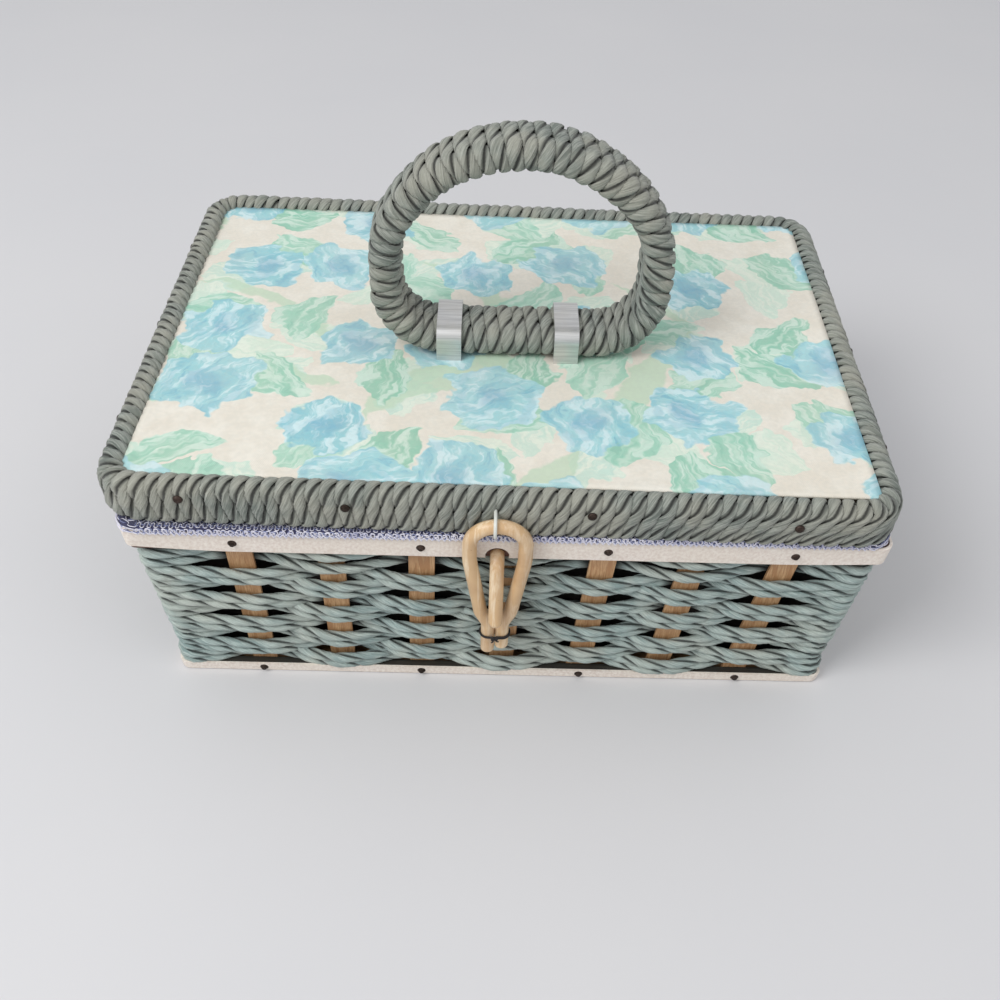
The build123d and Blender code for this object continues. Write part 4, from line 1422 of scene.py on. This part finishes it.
def quilted_pad(name, low, high, face, body, node):
    """Return a quilted pad that fills a box; face is 1 where its soft side is up and -1 where it is down."""
    size = high - low
    pad = add_primitive(
        bpy.ops.mesh.primitive_grid_add, x_subdivisions=int(size.x / pad_step),
        y_subdivisions=int(size.y / pad_step), size=1.0,
    )
    pad.scale = (size.x, size.y, 1.0)
    settle(pad)
    bpy.ops.object.mode_set(mode="EDIT")
    bpy.ops.mesh.select_all(action="SELECT")
    bpy.ops.mesh.extrude_region_move(TRANSFORM_OT_translate={"value": (0, 0, face * size.z * pad_base_share)})
    bpy.ops.mesh.select_all(action="SELECT")
    bpy.ops.mesh.normals_make_consistent(inside=False)
    bpy.ops.object.mode_set(mode="OBJECT")
    points = mesh_points(pad)
    soft = np.abs(points[:, 2]) > size.z * 0.1
    half = np.array([size.x, size.y]) / 2
    beyond = np.maximum(np.abs(points[:, :2]) - (half - pad_corner), 0)
    longest = beyond.max(axis=1)
    rounder = np.where(longest > 0, longest / np.maximum(np.linalg.norm(beyond, axis=1), 1e-9), 1.0)
    edge_gap = np.min(half - np.abs(points[:, :2]), axis=1)
    points[:, :2] -= np.sign(points[:, :2]) * beyond * (1 - rounder)[:, None]
    first = np.abs(np.sin(math.pi * (points[:, 0] + points[:, 1]) / quilt_pitch))
    second = np.abs(np.sin(math.pi * (points[:, 0] - points[:, 1]) / quilt_pitch))
    puff = np.sqrt(first * second * np.clip(edge_gap / pad_edge, 0, 1))
    crumple = np.sin(points[:, :2] * wrinkle_rates).prod(axis=1)
    wrinkle = wrinkle_height * crumple * (1 - puff)
    rise = puff * size.z * pad_puff_share + wrinkle * (edge_gap > wrinkle_margin)
    points[:, 2] += np.where(soft, face * rise, 0)
    points += [(low.x + high.x) / 2, (low.y + high.y) / 2, low.z if face > 0 else high.z]
    move_points(pad, points)
    pad.data.shade_smooth()
    finish_piece(pad, name, satin, body, (node,))


quilted_pad("floor_quilt", *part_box("floor_pad"), 1, "basket", "floor_pad")
quilted_pad("lid_quilt", *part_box("lid_lining"), -1, "lid", "lid_lining")

# %% Gathered wall lining
lining_low, lining_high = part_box("wall_lining")
lining_back = lining_high.x - wall_half(lining_high.z)[0]
lining_depth = 1.6 * MM
gather_count = 92
gather_depth = 0.95 * MM
gather_points = 8
gather_drift = 0.25
drift_waves = (3, 7, 11, 17)
held_at_edge, held_inside = 0.35, 3.2
fullness_at_edge, fullness_inside = 0.75, 0.35
lining_rows = 16
gather_source = np.random.default_rng(31)


def gathered_wall():
    """Return the wall's lining: flat against the liner, and gathered into upright folds on its face."""
    share = np.linspace(0, 1, gather_count * gather_points, endpoint=False)
    drift = np.zeros(len(share))
    for waves in drift_waves:
        strength, start = gather_source.normal(0, gather_drift), gather_source.uniform()
        drift += strength * np.sin(2 * math.pi * (waves * share + start))
    fold = 0.5 + 0.5 * np.sin(2 * math.pi * gather_count * share + 2 * drift)
    levels = np.linspace(0, 1, lining_rows)
    section = [(0.0, level) for level in levels] + [(1.0, level) for level in levels[::-1]]
    rings = np.empty((len(share), len(section), 3))
    for number, (face, level) in enumerate(section):
        height = lining_low.z + (lining_high.z - lining_low.z) * level
        held = min(1.0, held_at_edge + held_inside * level * (1 - level))
        fullness = lining_depth * (fullness_at_edge + fullness_inside * math.sin(math.pi * level))
        sink = face * (fullness - gather_depth * (1 - fold) * held)
        half = wall_half(height)
        loop = loop_length(*half, wall_corner)
        rings[:, number, :2] = round_loop(share * loop, *half, wall_corner, grow=lining_back - sink)[0]
        rings[:, number, 2] = height
    return plain(rings, share * mouth_length)


wall_gathers = cord_mesh("wall_gathers", [gathered_wall()])
finish_piece(wall_gathers, "wall_gathers", satin, "basket", ("wall_lining",))

# %% [markdown]
# ## The printed sheet
#
# The lid's printed vinyl is stretched over the board and tucked under the rim's winding, so it is a little larger
# than what shows. It isn't quite flat: it turns up at the rim and ripples slightly between. A grid is moved point
# by point, given its thickness with a Solidify modifier, and turned askew with the rest of the lid.

# %% Printed sheet
cover_low, cover_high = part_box("lid_cover")
sheet_thickness = 0.8 * MM
sheet_tuck = 0.65 * MM
sheet_drop = 0.15 * MM
sheet_tilt_share = 0.35
ripple_height = 0.16 * MM
ripple_rates, ripple_starts = (61, 83), (1.3, 0.4)
edge_rise = 0.45 * MM
edge_run = 6.0 * MM
sheet_half = np.array([cover_high.x - cover_low.x, cover_high.y - cover_low.y]) / 2 + sheet_tuck
sheet_grid = add_primitive(bpy.ops.mesh.primitive_grid_add, x_subdivisions=110, y_subdivisions=80, size=2.0)
sheet_grid.scale = (*sheet_half, 1.0)
settle(sheet_grid)
sheet_points = mesh_points(sheet_grid)
to_edge = np.min(sheet_half - np.abs(sheet_points[:, :2]), axis=1)
ripple = np.sin(sheet_points[:, :2] * ripple_rates + ripple_starts).prod(axis=1)
sheet_points[:, 2] = ripple_height * ripple + edge_rise * np.clip(1 - to_edge / edge_run, 0, 1) ** 2
sheet_points[:, 2] += cover_high.z - sheet_drop
move_points(sheet_grid, askew(sheet_points, sheet_tilt_share))
thick = sheet_grid.modifiers.new("thickness", "SOLIDIFY")
thick.thickness = sheet_thickness
thick.offset = -1.0
apply_modifiers(sheet_grid)
sheet_grid.data.shade_smooth()
finish_piece(sheet_grid, "printed_sheet", printed_vinyl, "lid", ("lid_cover",))

# %% [markdown]
# ## Nails in the rim
#
# Domed nails go through the winding into the lid's board. One nail is modelled: a squashed ball, cut off flat below,
# with its shank drawn out of the cut. The others are copies, turned to face out of the rim.

# %% Rim nails
nail_head = 1.25 * MM
nail_dome = 0.8 * MM
nail_shank = 4.0 * MM
shank_inset = 0.5
nail_trim = 0.02 * MM
front_nails = [(-80.2, 0.4), (-38.7, -0.4), (23.0, 0.0), (75.1, -1.5)]
back_nails = [-80.0, -30.0, 30.0, 80.0]
side_nails = [-45.0, 0.0, 45.0]
nail = add_primitive(bpy.ops.mesh.primitive_uv_sphere_add, segments=18, ring_count=10, radius=nail_head)
nail.scale = (1.0, 1.0, nail_dome / nail_head)
settle(nail)
bpy.ops.object.mode_set(mode="EDIT")
bpy.ops.mesh.select_all(action="SELECT")
bpy.ops.mesh.bisect(plane_co=(0, 0, nail_trim), plane_no=(0, 0, 1), use_fill=True, clear_inner=True)
bpy.ops.mesh.inset(thickness=nail_head * shank_inset)
bpy.ops.mesh.extrude_region_move(TRANSFORM_OT_translate={"value": (0, 0, -nail_shank)})
bpy.ops.mesh.select_all(action="SELECT")
bpy.ops.mesh.normals_make_consistent(inside=False)
bpy.ops.object.mode_set(mode="OBJECT")
nail.data.shade_smooth()
nail_level = (cover_low.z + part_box("lid_board")[0].z) / 2
winding_side, winding_face = rim_half + rim_thickness / 2
spots = [(x * MM, -winding_face, nail_level + rise * MM, 0) for x, rise in front_nails]
spots += [(x * MM, winding_face, nail_level, 180) for x in back_nails]
for y in side_nails:
    spots += [(winding_side, y * MM, nail_level, 90), (-winding_side, y * MM, nail_level, -90)]
rim_nail_set = []
for x, y, z, turn in spots:
    copy = nail.copy()
    copy.data = nail.data.copy()
    scene.collection.objects.link(copy)
    facing = Matrix.Rotation(math.radians(turn), 4, "Z") @ Matrix.Rotation(math.radians(90), 4, "X")
    copy.matrix_world = Matrix.Translation(askew(np.array([[x, y, z]]))[0]) @ facing
    rim_nail_set.append(copy)
bpy.data.objects.remove(nail)
rim_nails = join_pieces(rim_nail_set)
settle(rim_nails)
finish_piece(rim_nails, "rim_nail_heads", nail_iron, "lid", ("rim_nails",))

# %% [markdown]
# ## Finishes for the solid model's own pieces
#
# Stakes, hoops, bands, boards, nails, rings, straps and the cane peg already have their true shape in the solid
# model. They only need their finish, so each one's material slots get the material that belongs to it. Some pieces
# that a finer one stands for have theirs too.

# %% Finish the solid model's pieces
cad_finishes = {
    cane_splint: ["stakes_front", "stakes_right", "stakes_back", "stakes_left"],
    hoop_wood: ["outer_hoop", "inner_hoop"],
    board: ["base_board", "lid_board"],
    card: ["wall_liner"],
    band_vinyl: ["bottom_band"],
    nail_iron: ["top_band_nails", "bottom_band_nails", "rim_nails"],
    # The foot hoop is near black too: painted shade over the band's top edge, between the stakes.
    painted_shade_cane: ["handle_core", "bottom_hoop"],
    cane_rod: ["catch_peg", "toggle_loop"],
    strap_metal: ["handle_strap_left", "handle_strap_right"],
    ring_wire: ["hinge_ring_left", "hinge_ring_right"],
    printed_vinyl: ["lid_cover"],
    hanger_plastic: ["toggle_hanger"],
    satin: ["wall_lining", "floor_pad", "lid_lining"],
    braid_ribbon: ["mouth_braid"],
    black_thread: ["toggle_binding"],
}
for material, names in cad_finishes.items():
    for name in names:
        solid = nodes[name]
        solid.data.materials.clear()
        solid.data.materials.append(material)

# %% [markdown]
# ## Floor and light
#
# The basket stands on a plain pale floor under a large soft lamp at the left, with a weaker one at the right and an
# even pale sky. The lamps are weak enough for a colour to come out about as it is written.

# %% Floor
floor = add_primitive(bpy.ops.mesh.primitive_plane_add, size=8.0, location=(0, 0, 0))
floor.name = "floor"
floor_shader, floor_paint = new_finish("floor_paint", 0.7, Specular_IOR_Level=0.2)
floor_tone = mix(noise(here(), 6.0, detail=3.0), paint(204, 204, 206), paint(212, 211, 211))
feed(floor_shader.inputs["Base Color"], floor_tone)
floor.data.materials.append(floor_paint)

# %% Light
lit_point = Vector((0, 0, 0.04))
sky_colour = (0.96, 0.97, 1.0, 1.0)
sky_strength = 0.72


def soft_lamp(name, spot, size, power):
    """Add a square area lamp that points at the basket."""
    data = bpy.data.lights.new(name, "AREA")
    data.size = size
    data.energy = power
    lamp = bpy.data.objects.new(name, data)
    scene.collection.objects.link(lamp)
    lamp.location = spot
    lamp.rotation_euler = (lit_point - Vector(spot)).to_track_quat("-Z", "Y").to_euler()


soft_lamp("key", (-0.62, -0.5, 0.85), 0.55, 7.0)
soft_lamp("fill", (0.7, -0.5, 0.7), 0.8, 0.9)

sky = bpy.data.worlds.new("sky")
sky.use_nodes = True
scene.world = sky
sky.node_tree.nodes["Background"].inputs["Color"].default_value = sky_colour
sky.node_tree.nodes["Background"].inputs["Strength"].default_value = sky_strength
scene.view_settings.view_transform = "Standard"
